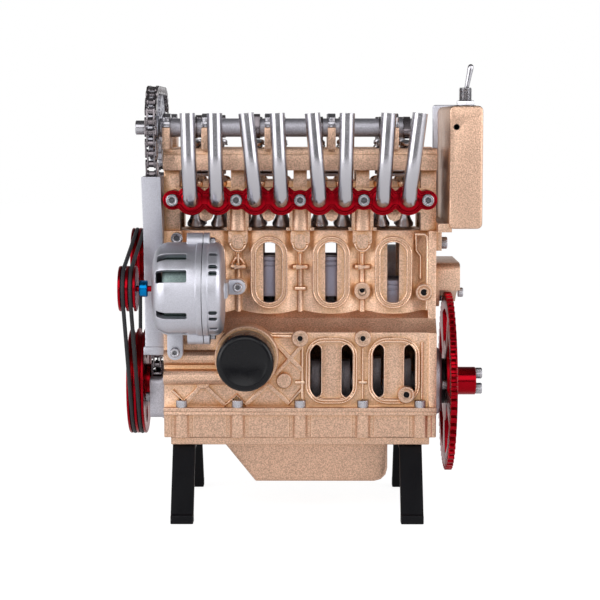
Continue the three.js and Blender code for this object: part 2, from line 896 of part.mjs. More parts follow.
function crankshaft() {
  const inner = webOffset - webThickness / 2;
  const parts = [
    bar("x", [0, 0], noseRadius, noseEnd, -halfLength, shaftSides),
    bar("x", [0, 0], crankFlangeRadius, rearFlangeStart, rearFlangeEnd, shaftSides),
  ];
  const ends = [-halfLength - runningGap, ...cylinderStations, rearFlangeStart];
  for (let i = 0; i + 1 < ends.length; i += 1) {
    const from = i === 0 ? ends[i] : ends[i] + inner;
    const to = i + 2 === ends.length ? ends[i + 1] : ends[i + 1] - inner;
    parts.push(bar("x", [0, 0], journalRadius, from, to, shaftSides));
  }
  cylinderStations.forEach((station, index) => {
    const up = crankAngles[index];
    parts.push(
      webSolid(station - webOffset, up),
      webSolid(station + webOffset, up),
      bar("x", [0, up * crankRadius], crankPinRadius, station - webOffset, station + webOffset, shaftSides)
    );
  });
  const dowelHole = dowelRadius + runningGap;
  const holes = [-1, 1].map((side) =>
    bar(
      "x",
      [0, (side * crankRadius) / 2],
      dowelHole,
      rearFlangeEnd - dowelLength / 2,
      rearFlangeEnd + cutOverrun,
      smallSides
    )
  );
  return cut(join(parts), holes);
}

// A rod stands upright: its big end is at the origin, its small end straight above
function connectingRod() {
  const half = rodWidth / 2;
  const beam = rodBeamWidth / 2;
  const parts = [
    bar("x", [0, 0], bigEndRadius, -half, half, shaftSides),
    bar("x", [0, rodLength], smallEndRadius, -half, half, smallSides),
    slab([-beam, beam], [-rodHalfBeam, rodHalfBeam], [crankPinRadius + rodHalfBeam, rodLength]),
  ];
  const end = half + cutOverrun;
  const bore = bar("x", [0, 0], crankPinRadius + runningGap, -end, end, shaftSides);
  return cut(join(parts), [bore]);
}

// A piston hangs open below its crown; its origin is its pin
function piston() {
  const radius = boreRadius - runningGap;
  const top = pistonAbovePin;
  const foot = top - pistonHeight;
  const inside = radius - pistonWall;
  const under = top - pistonCrown;
  const skirt = [[radius, foot], [inside, foot], [inside, under], [0, under]];
  return turned("z", [0, 0], [[0, top], [radius, top], ...skirt]);
}

// Flywheel: toothed ring with slots, stepped disc, and hub with the heads of its screws
const ringStart = halfLength + ringStation;

function flywheel() {
  const root = flywheelRadius - toothDepth;
  const points = [];
  const corners = [...toothTipShares.map((share) => [share, 1]), [1 / 2, 0]];
  for (let tooth = 0; tooth < flywheelTeeth; tooth += 1) {
    for (const [turnShare, heightShare] of corners) {
      const angle = (2 * Math.PI * (tooth + turnShare)) / flywheelTeeth;
      const radius = root + heightShare * toothDepth;
      points.push([radius * Math.cos(angle), radius * Math.sin(angle)]);
    }
  }
  const ring = polygon(points);
  for (let spoke = 0; spoke < spokeCount; spoke += 1) {
    const middle = (2 * Math.PI * (spoke + slotTurnShare)) / spokeCount;
    const half = (Math.PI * slotShare) / spokeCount;
    const slot = new THREE.Path();
    slot.absarc(0, 0, slotOuterRadius, middle - half, middle + half);
    slot.absarc(0, 0, slotInnerRadius, middle + half, middle - half, true);
    ring.holes.push(slot);
  }
  const ringEnd = ringStart + ringThickness;
  const discEnd = ringEnd + discThickness;
  const hubFace = halfLength + hubEnd;
  const screws = Array.from({ length: hubScrews }, (unused, index) => {
    const angle = (2 * Math.PI * (index + 1 / 2)) / hubScrews;
    const across = [hubScrewCircle * Math.cos(angle), hubScrewCircle * Math.sin(angle)];
    return bar("x", across, hubScrewRadius, hubFace - rootDepth, hubFace + hubScrewHeight, smallSides);
  });
  const body = join([
    prism("x", ring, ringStart, ringEnd, { curveSegments: wideArcSteps }),
    bar("x", [0, 0], discRadius, ringEnd - discThickness, discEnd, roundSides),
    bar("x", [0, 0], hubRadius, ringEnd, hubFace, roundSides),
    ...screws,
  ]);
  const dowelHole = dowelRadius + runningGap;
  const depth = rearFlangeEnd + dowelLength / 2 + runningGap;
  const holes = [-1, 1].map((side) =>
    bar("x", [0, (side * crankRadius) / 2], dowelHole, ringStart - cutOverrun, depth, smallSides)
  );
  const recess = bar(
    "x",
    [0, 0],
    crankFlangeRadius + runningGap,
    ringStart - cutOverrun,
    rearFlangeEnd + runningGap,
    shaftSides
  );
  return cut(body, [...holes, recess]);
}

// Grooved pulleys share the two belt planes
const beltPlanes = [-halfLength - beltStation - beltPitch, -halfLength - beltStation];

function pulleyProfile(radius, bore) {
  const groove = radius - grooveDepth;
  const half = beltSize / 2;
  const rim = pulleyRim;
  const first = beltPlanes[0] - half - rim;
  const last = beltPlanes[1] + half + rim;
  const profile = [[bore, first], [radius, first]];
  for (const plane of beltPlanes) {
    profile.push([radius, plane - half - runningGap], [groove, plane - half]);
    profile.push([groove, plane + half], [radius, plane + half + runningGap]);
  }
  profile.push([radius, last], [bore, last]);
  return profile;
}

// A ring profile closes on itself so that the pulley has its bore
function pulley(radius, bore, sides) {
  const profile = pulleyProfile(radius, bore);
  return turned("x", [0, 0], [...profile, profile[0]], sides);
}

const sprocketEnd = -halfLength - chainStation - chainWidth / 2;

function crankPulley() {
  const bore = noseRadius + runningGap;
  const hubStart = beltPlanes[1] + beltSize / 2;
  const hubStop = sprocketEnd - 2 * runningGap;
  const hub = cut(bar("x", [0, 0], crankHubRadius, hubStart, hubStop, roundSides), [
    bar("x", [0, 0], bore, hubStart - cutOverrun, hubStop + cutOverrun, shaftSides),
  ]);
  const body = join([pulley(crankPulleyRadius, bore, boreSides), hub]);
  const holes = [];
  const middle = (crankPulleyRadius + crankHubRadius) / 2;
  for (let hole = 0; hole < lighteningHoles; hole += 1) {
    const angle = (2 * Math.PI * (hole + 1 / 2)) / lighteningHoles;
    const across = [middle * Math.cos(angle), middle * Math.sin(angle)];
    const ends = [beltPlanes[0] - 2 * cutOverrun, beltPlanes[1] + 2 * cutOverrun];
    holes.push(bar("x", across, lighteningHoleRadius, ...ends, smallSides));
  }
  return cut(body, holes);
}

function alternatorPulley() {
  const start = beltPlanes[0] - beltSize / 2 - pulleyRim;
  const shaftEnd = -halfLength - alternatorEnd + alternatorShaftReach;
  const shaft = bar("x", [0, 0], alternatorShaftRadius, start, shaftEnd, smallSides);
  const bore = alternatorShaftRadius - runningGap;
  return join([pulley(alternatorPulleyRadius, bore, shaftSides), shaft]);
}

function pumpPulley() {
  const start = beltPlanes[0] - beltSize / 2 - pulleyRim;
  const shaftEnd = -halfLength + endWall - cutOverrun - runningGap;
  const shaft = bar("x", [0, 0], pumpShaftRadius, start, shaftEnd, smallSides);
  return join([pulley(pumpPulleyRadius, pumpShaftRadius - runningGap, roundSides), shaft]);
}

// Chain and sprockets
const chainPlane = -halfLength - chainStation;
const camAxes = [-camSpread, camSpread];

function sprocket(pitchRadius, bore, hubLength) {
  const half = sprocketThickness / 2;
  const disc = pitchRadius - chainHalfHeight - runningGap;
  const hubHalf = hubLength / 2;
  const hub = Math.min(sprocketHubRadius, disc - runningGap);
  const body = join([
    bar("x", [0, 0], disc, -half, half, roundSides),
    bar("x", [0, 0], hub, -hubHalf, hubHalf, shaftSides),
  ]);
  const hole = bar("x", [0, 0], bore, -hubHalf - cutOverrun, hubHalf + cutOverrun, shaftSides);
  return cut(body, [hole]);
}

// Timing cover: a shell open above and below for the chain
function coverShape(inset, overrun) {
  const foot = crankHeight + coverFoot;
  const top = crankHeight + coverTop;
  const right = coverHalfWidths.map((half, index) => [
    half - inset,
    foot + coverLevelShares[index] * (top - foot),
  ]);
  right[0][1] -= overrun;
  right[right.length - 1][1] += overrun;
  const left = [...right].reverse().map(([y, z]) => [-y, z]);
  return polygon([...right, ...left]);
}

function timingCover() {
  const inside = chainPlane + chainWidth / 2 + coverClearance;
  const outside = chainPlane - chainWidth / 2 - coverClearance;
  const foot = crankHeight + coverFoot;
  const half = coverHalfWidths[0] + coverLipProud;
  const face = outside - coverWall;
  const body = join([
    prism("x", coverShape(0, 0), face, -halfLength),
    slab([face - coverLipProud, -halfLength], [-half, half], [foot, foot + coverLip]),
  ]);
  const pump = [pumpPulleyDepth, crankHeight + pumpPulleyRise];
  return cut(body, [
    prism("x", coverShape(coverWall, cutOverrun), outside, inside),
    bar("x", pump, pumpShaftRadius + runningGap, face - cutOverrun, -halfLength + cutOverrun, smallSides),
  ]);
}

// Bearing housings at the two ends of the crank
function frontHousing() {
  const chainOut = crankSprocketRadius + chainHalfHeight + housingChainGap;
  const back = chainPlane + chainWidth / 2 + runningGap;
  const face = chainPlane - chainWidth / 2;
  const low = crankHeight - frontHousingDrop;
  const high = crankHeight + frontHousingRise;
  const wide = chainOut + frontHousingArm;
  const parts = [slab([back, -halfLength], [-wide, wide], [low, high])];
  for (const side of [-1, 1]) {
    const y = [side * chainOut, side * wide].sort((a, b) => a - b);
    parts.push(prism("x", roundedBox(y, [low, high], housingCorner), face, -halfLength));
  }
  const bore = bar("x", [0, crankHeight], journalRadius + runningGap, face, -halfLength + cutOverrun);
  return cut(join(parts), [bore]);
}

function rearHousing() {
  const end = halfLength + rearHousingLength;
  const bore = crankFlangeRadius + runningGap;
  return turned("x", [0, crankHeight], [
    [bore, halfLength],
    [rearHousingRadius, halfLength],
    [rearHousingRadius, end - rearHousingEdge],
    [rearHousingRadius - rearHousingEdge, end],
    [bore, end],
    [bore, halfLength],
  ]);
}

// Inclined valve axes: exhaust on the near side, intake on the far side
const valveFoot = deckHeight + valveRise;
const valveRun = camSpread - valveDepth;
const valveClimb = camHeight - valveFoot;
const valveAxisLength = Math.hypot(valveRun, valveClimb);
const valveTilt = Math.atan2(valveRun, valveClimb);
const stemLength = valveAxisLength - lobeBase - lobeLift - runningGap - tappetHeight;
const bridgeLevel = (headTop - valveFoot - bridgeBelowTop) / Math.cos(valveTilt) - bridgeThickness;

// A round tool or stem along a valve axis, from one distance above the valve's foot to another
function alongValve(x, side, radius, from, to) {
  const geometry = new THREE.CylinderGeometry(radius, radius, to - from, holeSides);
  geometry.rotateX(Math.PI / 2);
  geometry.translate(0, 0, (from + to) / 2);
  geometry.rotateX(-side * valveTilt);
  geometry.translate(x, side * valveDepth, valveFoot);
  return solid(geometry);
}

// Twin valves of one cylinder and side, tied by their shared spring plate, with the axis along z
function valvePair() {
  const parts = [];
  for (const side of [-1, 1]) {
    const across = [side * valveOffset, 0];
    const cone = valveDiscEdge + valveCone;
    parts.push(
      turned("z", across, [
        [0, 0],
        [valveDiscRadius, 0],
        [valveDiscRadius, valveDiscEdge],
        [valveStemRadius * 2, valveDiscEdge + valveCone / 2],
        [valveStemRadius, cone],
        [valveStemRadius, stemLength],
        [tappetRadius, stemLength],
        [tappetRadius, stemLength + tappetHeight],
        [0, stemLength + tappetHeight],
      ], holeSides)
    );
  }
  const half = valveOffset + bridgeMargin;
  parts.push(
    slab([-half, half], [-bridgeHalfDepth, bridgeHalfDepth], [bridgeLevel, bridgeLevel + bridgeThickness])
  );
  return join(parts);
}

// Cylinder head: pillars, port beam, port bosses and upper pillars
const beamFoot = deckHeight + beamRise;
const beamTop = beamFoot + beamHeight;
const portHeight = deckHeight + portRise;
const portStations = cylinderStations.flatMap((station) => [station - portOffset, station + portOffset]);
const flangeFace = headHalfDepth + portBossReach;
const screwStations = [
  -halfLength + flangeScrewRadius + flangeScrewInset,
  ...valleyStations,
  halfLength - flangeScrewRadius - flangeScrewInset,
];

function cylinderHead() {
  const parts = [
    slab([-halfLength, halfLength], [-headHalfDepth, headHalfDepth], [beamFoot, beamTop]),
    slab(
      [-halfLength + endWall, halfLength - endWall],
      [-beamCrownHalfDepth, beamCrownHalfDepth],
      [beamTop - rootDepth, beamTop + beamCrown]
    ),
  ];
  for (const side of [-1, 1]) {
    const outer = side * headHalfDepth;
    const inner = side * (headHalfDepth - pillarDepth);
    const y = [outer, inner].sort((a, b) => a - b);
    for (const end of [-1, 1]) {
      const x = [end * halfLength, end * (halfLength - endWall)].sort((a, b) => a - b);
      parts.push(slab(x, y, [deckHeight, headTop]));
    }
    for (const station of valleyStations) {
      const half = pillarWidth / 2;
      const upper = upperPillarWidth / 2;
      parts.push(slab([station - half, station + half], y, [deckHeight, beamFoot + rootDepth]));
      parts.push(slab([station - upper, station + upper], y, [beamTop - rootDepth, headTop]));
    }
  }
  for (const station of portStations) {
    parts.push(
      bar("y", [station, portHeight], portBossRadius, -flangeFace, -headHalfDepth + rootDepth, shaftSides),
      bar(
        "y",
        [station, portHeight],
        portBossRadius,
        headHalfDepth - rootDepth,
        headHalfDepth + intakeBossReach,
        smallSides
      )
    );
  }
  for (const station of screwStations) {
    const ends = [-flangeFace, -headHalfDepth + rootDepth];
    parts.push(bar("y", [station, portHeight], flangeScrewRadius, ...ends, smallSides));
  }
  for (const station of cylinderStations) {
    const plug = [station, deckHeight + plugBossRise];
    const ends = [-headHalfDepth - plugBossReach, -headHalfDepth + plugBossReach];
    parts.push(bar("y", plug, plugBossRadius, ...ends, smallSides));
  }
  const holes = [];
  for (const station of portStations) {
    const across = [station, portHeight];
    const intakeFace = headHalfDepth + intakeBossReach;
    holes.push(
      bar("y", across, portRadius, -flangeFace - cutOverrun, -flangeFace + portDepth, smallSides),
      bar("y", across, portRadius, intakeFace - portDepth, intakeFace + cutOverrun, holeSides)
    );
  }
  for (const station of cylinderStations) {
    for (const side of [-1, 1]) {
      for (const twin of [-1, 1]) {
        const x = station + twin * valveOffset;
        holes.push(alongValve(x, side, valveStemRadius + stemClearance, 0, valveAxisLength));
      }
    }
  }
  return cut(join(parts), holes);
}

// Cam carrier: two rails, cross bars and bearing towers
const towerStations = [-halfLength + towerThickness / 2, ...cylinderStations];

function camCarrier() {
  const rail = polygon([
    [railInner, headTop],
    [railOuter, headTop],
    [railOuter, railTop - railChamfer],
    [railOuter - railChamfer / 2, railTop],
    [railInner, railTop],
  ]);
  const parts = [prism("x", rail, -halfLength, halfLength)];
  const mirrored = polygon([
    [-railOuter, headTop],
    [-railInner, headTop],
    [-railInner, railTop],
    [-railOuter + railChamfer / 2, railTop],
    [-railOuter, railTop - railChamfer],
  ]);
  parts.push(prism("x", mirrored, -halfLength, halfLength));
  const endBars = [-halfLength + endWall / 2, halfLength - endWall / 2];
  for (const station of [...endBars, ...valleyStations]) {
    const half = endWall / 2;
    parts.push(
      slab(
        [station - half, station + half],
        [-railInner - rootDepth, railInner + rootDepth],
        [headTop, headTop + crossBarHeight]
      )
    );
  }
  for (const station of towerStations) {
    const half = towerThickness / 2;
    for (const axis of camAxes) {
      parts.push(
        slab(
          [station - half, station + half],
          [axis - towerFootWidth, axis + towerFootWidth],
          [railTop - rootDepth, camHeight]
        ),
        bar("x", [axis, camHeight], towerCapRadius, station - half, station + half, shaftSides)
      );
    }
  }
  const camBore = camTubeRadius + runningGap;
  const holes = camAxes.map((axis) =>
    bar("x", [axis, camHeight], camBore, -halfLength - cutOverrun, halfLength, shaftSides)
  );
  const swing = lobeBase + lobeLift + runningGap;
  const opened = stemLength - lobeLift - runningGap;
  for (const station of cylinderStations) {
    for (const side of [-1, 1]) {
      for (const twin of [-1, 1]) {
        const x = station + twin * valveOffset;
        holes.push(
          alongValve(x, side, valveStemRadius + stemClearance, 0, valveAxisLength - swing),
          alongValve(x, side, tappetRadius + stemClearance, opened, valveAxisLength - swing)
        );
      }
    }
  }
  return cut(join(parts), holes);
}

// A camshaft turns about its own x axis; each cylinder has two lobes beside its tower
function lobeShape(angle) {
  const shape = new THREE.Shape();
  const centre = lobeBase + lobeLift - lobeNose;
  const spread = Math.acos((lobeBase - lobeNose) / centre);
  const [u, v] = [centre * Math.cos(angle), centre * Math.sin(angle)];
  shape.absarc(u, v, lobeNose, angle - spread, angle + spread);
  shape.absarc(0, 0, lobeBase, angle + spread, angle - spread + 2 * Math.PI);
  return shape;
}

const camEnd = cylinderStations[cylinderCount - 1] + valveOffset + lobeWidth;

function camshaft(angleShares) {
  const start = chainPlane - chainWidth / 2 - camBoltLength;
  const neck = camBoltRadius;
  const parts = [
    bar("x", [0, 0], camTubeRadius, chainPlane + chainWidth / 2, camEnd, shaftSides),
    bar("x", [0, 0], neck, start, chainPlane + chainWidth, smallSides),
  ];
  cylinderStations.forEach((station, index) => {
    const angle = 2 * Math.PI * angleShares[index];
    for (const twin of [-1, 1]) {
      const middle = station + twin * valveOffset;
      parts.push(
        prism("x", lobeShape(angle), middle - lobeWidth / 2, middle + lobeWidth / 2)
      );
    }
  });
  return join(parts);
}

// Exhaust flange: one plate with a ring for each pipe and a lobe for each screw
function exhaustFlange() {
  const from = -flangeFace - flangeThickness;
  const to = -flangeFace;
  const end = screwStations[screwStations.length - 1];
  const parts = [
    slab([-end, end], [from, to], [portHeight - flangeBarHalf, portHeight + flangeBarHalf]),
  ];
  for (const station of portStations) {
    parts.push(bar("y", [station, portHeight], flangePortRadius, from, to, flangeRingSides));
  }
  for (const station of screwStations) {
    parts.push(bar("y", [station, portHeight], flangeScrewRadius, from, to, shaftSides));
  }
  const holes = portStations.map((station) =>
    bar("y", [station, portHeight], portRadius, from - cutOverrun, to + cutOverrun, smallSides)
  );
  return cut(join(parts), holes);
}

// A pipe leaves the flange square, bends up tightly, then sweeps upright and leans along the engine
const quarterTurn = Math.PI / 2;
const tightTurn = tightShare * quarterTurn;
const tightRise = pipeBend * (1 - Math.cos(tightTurn));
const straightLength = pipeTopAbovePort - tightRise - pipeSweep * Math.cos(tightTurn);

class PipeRoute extends THREE.Curve {
  constructor(lean) {
    super();
    this.lean = lean;
  }
  getPoint(share, target = new THREE.Vector3()) {
    const place = share * (bendSteps + sweepSteps + 2) - 1;
    if (place <= 0) return target.set(0, -(place + 1) * pipeLead, 0);
    const bent = Math.min(place / bendSteps, 1) * tightTurn;
    const past = THREE.MathUtils.clamp((place - bendSteps) / sweepSteps, 0, 1);
    const swept = tightTurn + past * (quarterTurn - tightTurn);
    const straight = Math.max(place - bendSteps - sweepSteps, 0) * straightLength;
    const outward = pipeBend * Math.sin(bent) + pipeSweep * (Math.sin(swept) - Math.sin(tightTurn));
    const bendRise = pipeBend * (1 - Math.cos(bent));
    const height = bendRise + pipeSweep * (Math.cos(tightTurn) - Math.cos(swept)) + straight;
    const leaning = Math.max(height - pipeBend, 0) / (pipeTopAbovePort - pipeBend);
    return target.set(this.lean * leaning, -pipeLead - outward, height);
  }
  getPointAt(share, target) {
    return this.getPoint(share, target);
  }
  getTangentAt(share, target) {
    return this.getTangent(share, target);
  }
}

function exhaustPipe(lean) {
  const section = new THREE.Shape();
  section.absarc(0, 0, pipeRadius, 0, 2 * Math.PI);
  const bore = new THREE.Path();
  bore.absarc(0, 0, pipeRadius - pipeWall, 0, 2 * Math.PI);
  section.holes.push(bore);
  const geometry = new THREE.ExtrudeGeometry(section, {
    steps: bendSteps + sweepSteps + 2,
    extrudePath: new PipeRoute(lean),
    curveSegments: pipeSteps,
  });
  return solid(geometry);
}

// Alternator: two castings round one axis, with vents, through bolt lugs and two fixing ears
const alternatorAxis = [-alternatorDepth, crankHeight + alternatorRise];
const alternatorStart = -halfLength - alternatorEnd;
const alternatorSeam = -halfLength + alternatorSplit;
const alternatorStop = -halfLength + alternatorBack;

function ventTool(share, from, to) {
  const geometry = new THREE.BoxGeometry(to - from, alternatorRadius, ventWidth);
  geometry.translate((from + to) / 2, -alternatorRadius, 0);
  geometry.rotateX(-2 * Math.PI * share);
  geometry.translate(0, ...alternatorAxis);
  return solid(geometry);
}

function alternatorLugs(from, to) {
  return [-1, 1].map((side) => {
    const [y, z] = alternatorAxis;
    const across = [y, z + side * (alternatorRadius + lugReach - lugRadius)];
    return bar("x", across, lugRadius, from, to, shaftSides);
  });
}

function alternatorFront() {
  const radius = alternatorRadius;
  const inner = radius - alternatorWall;
  const shoulder = alternatorShoulder;
  const bore = alternatorShaftRadius + 2 * runningGap;
  const seam = alternatorSeam - splitGap / 2;
  const shell = turned("x", alternatorAxis, [
    [bore, alternatorStart],
    [radius - shoulder, alternatorStart],
    [radius - shoulder * roundingShare, alternatorStart + shoulder * roundingShare],
    [radius, alternatorStart + shoulder],
    [radius, seam - alternatorWall],
    [radius + bandProud, seam - alternatorWall],
    [radius + bandProud, seam],
    [inner, seam],
    [inner, alternatorStart + shoulder],
    [radius - shoulder, alternatorStart + alternatorWall],
    [bore, alternatorStart + alternatorWall],
    [bore, alternatorStart],
  ], roundSides);
  const vents = ventAngleShares.map((share) =>
    ventTool(share, seam - frontVentInset - ventLength, seam - frontVentInset)
  );
  const strapX = [alternatorStart + strapInset, alternatorStart + strapInset + earWidth];
  const strapBack = crankcaseHalfDepth + strapStandOff;
  const strapY = [-strapBack - strapThickness, -strapBack];
  const strap = cut(
    slab(strapX, strapY, [crankHeight + strapRise - earWidth / 2, alternatorAxis[1] - radius / 3]),
    [bar("x", alternatorAxis, inner + rootDepth, strapX[0] - cutOverrun, strapX[1] + cutOverrun)]
  );
  const lugs = alternatorLugs(seam - frontLugLength, seam).map((lug) =>
    cut(lug, [bar("x", alternatorAxis, inner + rootDepth, alternatorStart, alternatorStop)])
  );
  return join([cut(shell, vents), strap, ...lugs]);
}

function alternatorRear() {
  const radius = alternatorRadius;
  const inner = radius - alternatorWall;
  const shoulder = alternatorBackShoulder;
  const seam = alternatorSeam + splitGap / 2;
  const shell = turned("x", alternatorAxis, [
    [inner, seam],
    [radius + bandProud, seam],
    [radius + bandProud, seam + alternatorWall],
    [radius, seam + alternatorWall],
    [radius, alternatorStop - shoulder],
    [radius - shoulder, alternatorStop],
    [alternatorRearBore, alternatorStop],
    [alternatorRearBore, alternatorStop - alternatorWall],
    [inner, alternatorStop - alternatorWall],
    [inner, seam],
  ], roundSides);
  const vents = ventAngleShares.map((share) =>
    ventTool(share, seam + rearVentInset, seam + rearVentInset + rearVentLength)
  );
  const earEnd = earStation + earWidth / 2;
  const earFace = valleyFace + earBossProud;
  const earMiddle = crankHeight + earRise;
  const ear = slab(
    [alternatorStop - alternatorWall, earEnd],
    [-earFace - earThickness, -earFace],
    [earMiddle - earWidth / 2, earMiddle + earWidth / 2]
  );
  const web = slab(
    [alternatorStop - alternatorWall, alternatorStop],
    [-alternatorDepth + alternatorWebInset, -earFace],
    [earMiddle - earWidth / 2, earMiddle + earWidth / 2]
  );
  const lugs = alternatorLugs(seam, seam + alternatorWall).map((lug) =>
    cut(lug, [bar("x", alternatorAxis, inner + rootDepth, alternatorStart, alternatorStop)])
  );
  return join([cut(shell, vents), ear, web, ...lugs]);
}

function alternatorCoupling() {
  const start = -halfLength - couplingStation - couplingLength / 2;
  const body = bar("x", [0, 0], couplingRadius, start, start + couplingLength, couplingSides);
  const bore = alternatorShaftRadius + runningGap;
  return cut(body, [
    bar("x", [0, 0], bore, start - cutOverrun, start + couplingLength + cutOverrun, smallSides),
  ]);
}

// Oil filter on its collar
function oilFilter() {
  const back = -crankcaseHalfDepth - collarLength;
  const front = back - filterLength;
  return turned("y", [filterStation, crankHeight + filterRise], [
    [0, back],
    [filterRadius - filterBackEdge, back],
    [filterRadius, back - filterBackEdge],
    [filterRadius, front + filterEdge],
    [filterRadius - filterEdge * roundingShare, front + filterEdge * roundingShare],
    [filterRadius - filterEdge, front],
    [0, front],
  ], boreSides);
}

// Battery box: a hollow case on a shelf with a tab screwed to the block's end
const boxLeft = halfLength + boxGap;
const boxRight = boxLeft + boxWidth;
const boxBottom = deckHeight + boxFoot;
const boxHigh = deckHeight + boxTop;
const switchX = boxLeft + switchInset;

function batteryBox() {
  const outline = roundedBox([boxLeft, boxRight], [boxBottom, boxHigh], boxCorner);
  const inside = roundedBox(
    [boxLeft + boxWall, boxRight - boxWall],
    [boxBottom + boxWall, boxHigh - boxWall],
    boxCorner - boxWall / 2
  );
  const shell = prism("y", outline, -boxHalfDepth + boxEdge, boxHalfDepth - boxEdge, {
    bevelEnabled: true,
    bevelThickness: boxEdge,
    bevelSize: boxEdge,
    bevelOffset: -boxEdge,
    bevelSegments: 2,
  });
  const tabY = [boxTabDepth - boxTabWidth / 2, boxTabDepth + boxTabWidth / 2];
  const parts = [
    shell,
    slab([halfLength, boxLeft + boxWall], [-boxHalfDepth + boxCorner, boxHalfDepth - boxCorner], [
      boxBottom - boxShelf,
      boxBottom + boxCorner,
    ]),
    slab([halfLength, halfLength + boxTabThickness], tabY, [boxBottom - boxTabDrop, boxBottom]),
  ];
  const jack = [boxLeft + jackInset, boxHigh - jackBelowTop];
  const frontWall = [-boxHalfDepth - cutOverrun, -boxHalfDepth + boxWall + cutOverrun];
  const topWall = [boxHigh - boxWall - cutOverrun, boxHigh + cutOverrun];
  return cut(join(parts), [
    prism("y", inside, -boxHalfDepth + boxWall, boxHalfDepth + cutOverrun),
    bar("y", jack, jackRadius, ...frontWall, smallSides),
    bar("z", [switchX, switchDepth], bushingRadius, ...topWall, smallSides),
  ]);
}

function boxCover() {
  const shape = roundedBox(
    [boxLeft - boxCoverOverlap, boxRight],
    [boxBottom + boxWall, boxHigh + boxCoverThickness / 2],
    boxCorner - boxEdge
  );
  return prism("y", shape, boxHalfDepth, boxHalfDepth + boxCoverThickness);
}

// Toggle switch: a threaded bushing with its nut, and a lever that tilts in it
function switchBushing() {
  const top = boxHigh + bushingHeight;
  const nut = bar("z", [switchX, switchDepth], nutRadius, boxHigh, boxHigh + nutHeight, nutSides);
  const barrel = bar("z", [switchX, switchDepth], bushingRadius, boxHigh, top, shaftSides);
  const floor = boxHigh + bushingFloor;
  const throat = turned("z", [switchX, switchDepth], [
    [0, floor],
    [bushingBore - bushingTaper, floor],
    [bushingBore, top],
    [bushingBore, top + cutOverrun],
    [0, top + cutOverrun],
  ], smallSides);
  return cut(join([nut, barrel]), [throat]);
}

function switchLever() {
  return turned("z", [0, 0], [
    [0, -leverFootRadius],
    [leverFootRadius * (1 - roundingShare), -leverFootRadius * (1 - roundingShare)],
    [leverFootRadius, 0],
    [leverRadius, leverLength - leverRadius],
    [leverRadius * (1 - roundingShare), leverLength - leverRadius * roundingShare],
    [0, leverLength],
  ], smallSides);
}

// Starter: a motor behind the block, its bracket over the flywheel ring and its pinion
const motorAxis = [motorDepth, crankHeight + motorRise];
const pinionAxis = [pinionDepth, crankHeight + pinionRise];
const bracketStart = halfLength;
const bracketEnd = halfLength + bracketReach;

function starterBracket() {
  const outline = roundedBox(
    [bracketFront, bracketBack],
    [crankHeight + bracketFoot, crankHeight + bracketTop],
    bracketCorner
  );
  const clearRadius = flywheelRadius + ringClearance;
  const pocketStart = bracketStart + bracketThickness;
  const body = prism("x", outline, bracketStart, bracketEnd);
  const pocket = bar(
    "x",
    [0, crankHeight],
    clearRadius,
    pocketStart,
    bracketEnd + cutOverrun,
    wheelSides
  );
  const pinionPocket = bar(
    "x",
    pinionAxis,
    pinionRadius + ringClearance,
    pocketStart,
    bracketEnd - bracketOuterWall,
    shaftSides
  );
  const shaftHole = bar(
    "x",
    pinionAxis,
    pinionShaftRadius + runningGap,
    bracketStart - cutOverrun,
    pocketStart + cutOverrun,
    smallSides
  );
  return cut(body, [pocket, pinionPocket, shaftHole]);
}

function starterMotor() {
  const end = bracketStart;
  const start = end - motorLength;
  const body = turned("x", motorAxis, [
    [0, start],
    [motorRadius - motorCorner, start],
    [motorRadius, start + motorCorner],
    [motorRadius, end],
    [0, end],
  ], roundSides);
  const gearboxStart = end - gearboxLength;
  const gearbox = bar("x", pinionAxis, pinionRadius + ringClearance, gearboxStart, end, shaftSides);
  const tie = slab(
    [gearboxStart, end],
    [pinionAxis[0], motorAxis[0]],
    [pinionAxis[1], motorAxis[1]]
  );
  const hole = bar(
    "x",
    pinionAxis,
    pinionShaftRadius + runningGap,
    gearboxStart + rootDepth,
    end + cutOverrun,
    smallSides
  );
  return cut(join([body, gearbox, tie]), [hole]);
}

function starterPinion() {
  const start = bracketThickness + runningGap;
  const points = [];
  for (let step = 0; step < 2 * pinionTeeth; step += 1) {
    const angle = (Math.PI * step) / pinionTeeth;
    const radius = step % 2 ? pinionRadius : pinionRadius * pinionRootShare;
    points.push([radius * Math.cos(angle), radius * Math.sin(angle)]);
  }
  return join([
    prism("x", polygon(points), start, start + pinionLength - runningGap),
    bar("x", [0, 0], pinionShaftRadius, -pinionLength, start + pinionLength - runningGap, smallSides),
  ]);
}

// Stands: one strip each, bent down to two feet
function stand() {
  const top = standHeight;
  const under = top - standStrip;
  const shoulder = standShoulder;
  const spread = standFootSpread;
  const foot = standFootHeight;
  const near = spread - standFootLength;
  const right = [
    [shoulder, top],
    [spread - standStrip / 2, foot],
    [spread, foot],
    [spread, 0],
    [near, 0],
    [near, foot],
    [shoulder - standStrip / 2, under],
  ];
  const left = [...right].reverse().map(([y, z]) => [-y, z]);
  return prism("x", polygon([...left, ...right]), 0, standWidth);
}

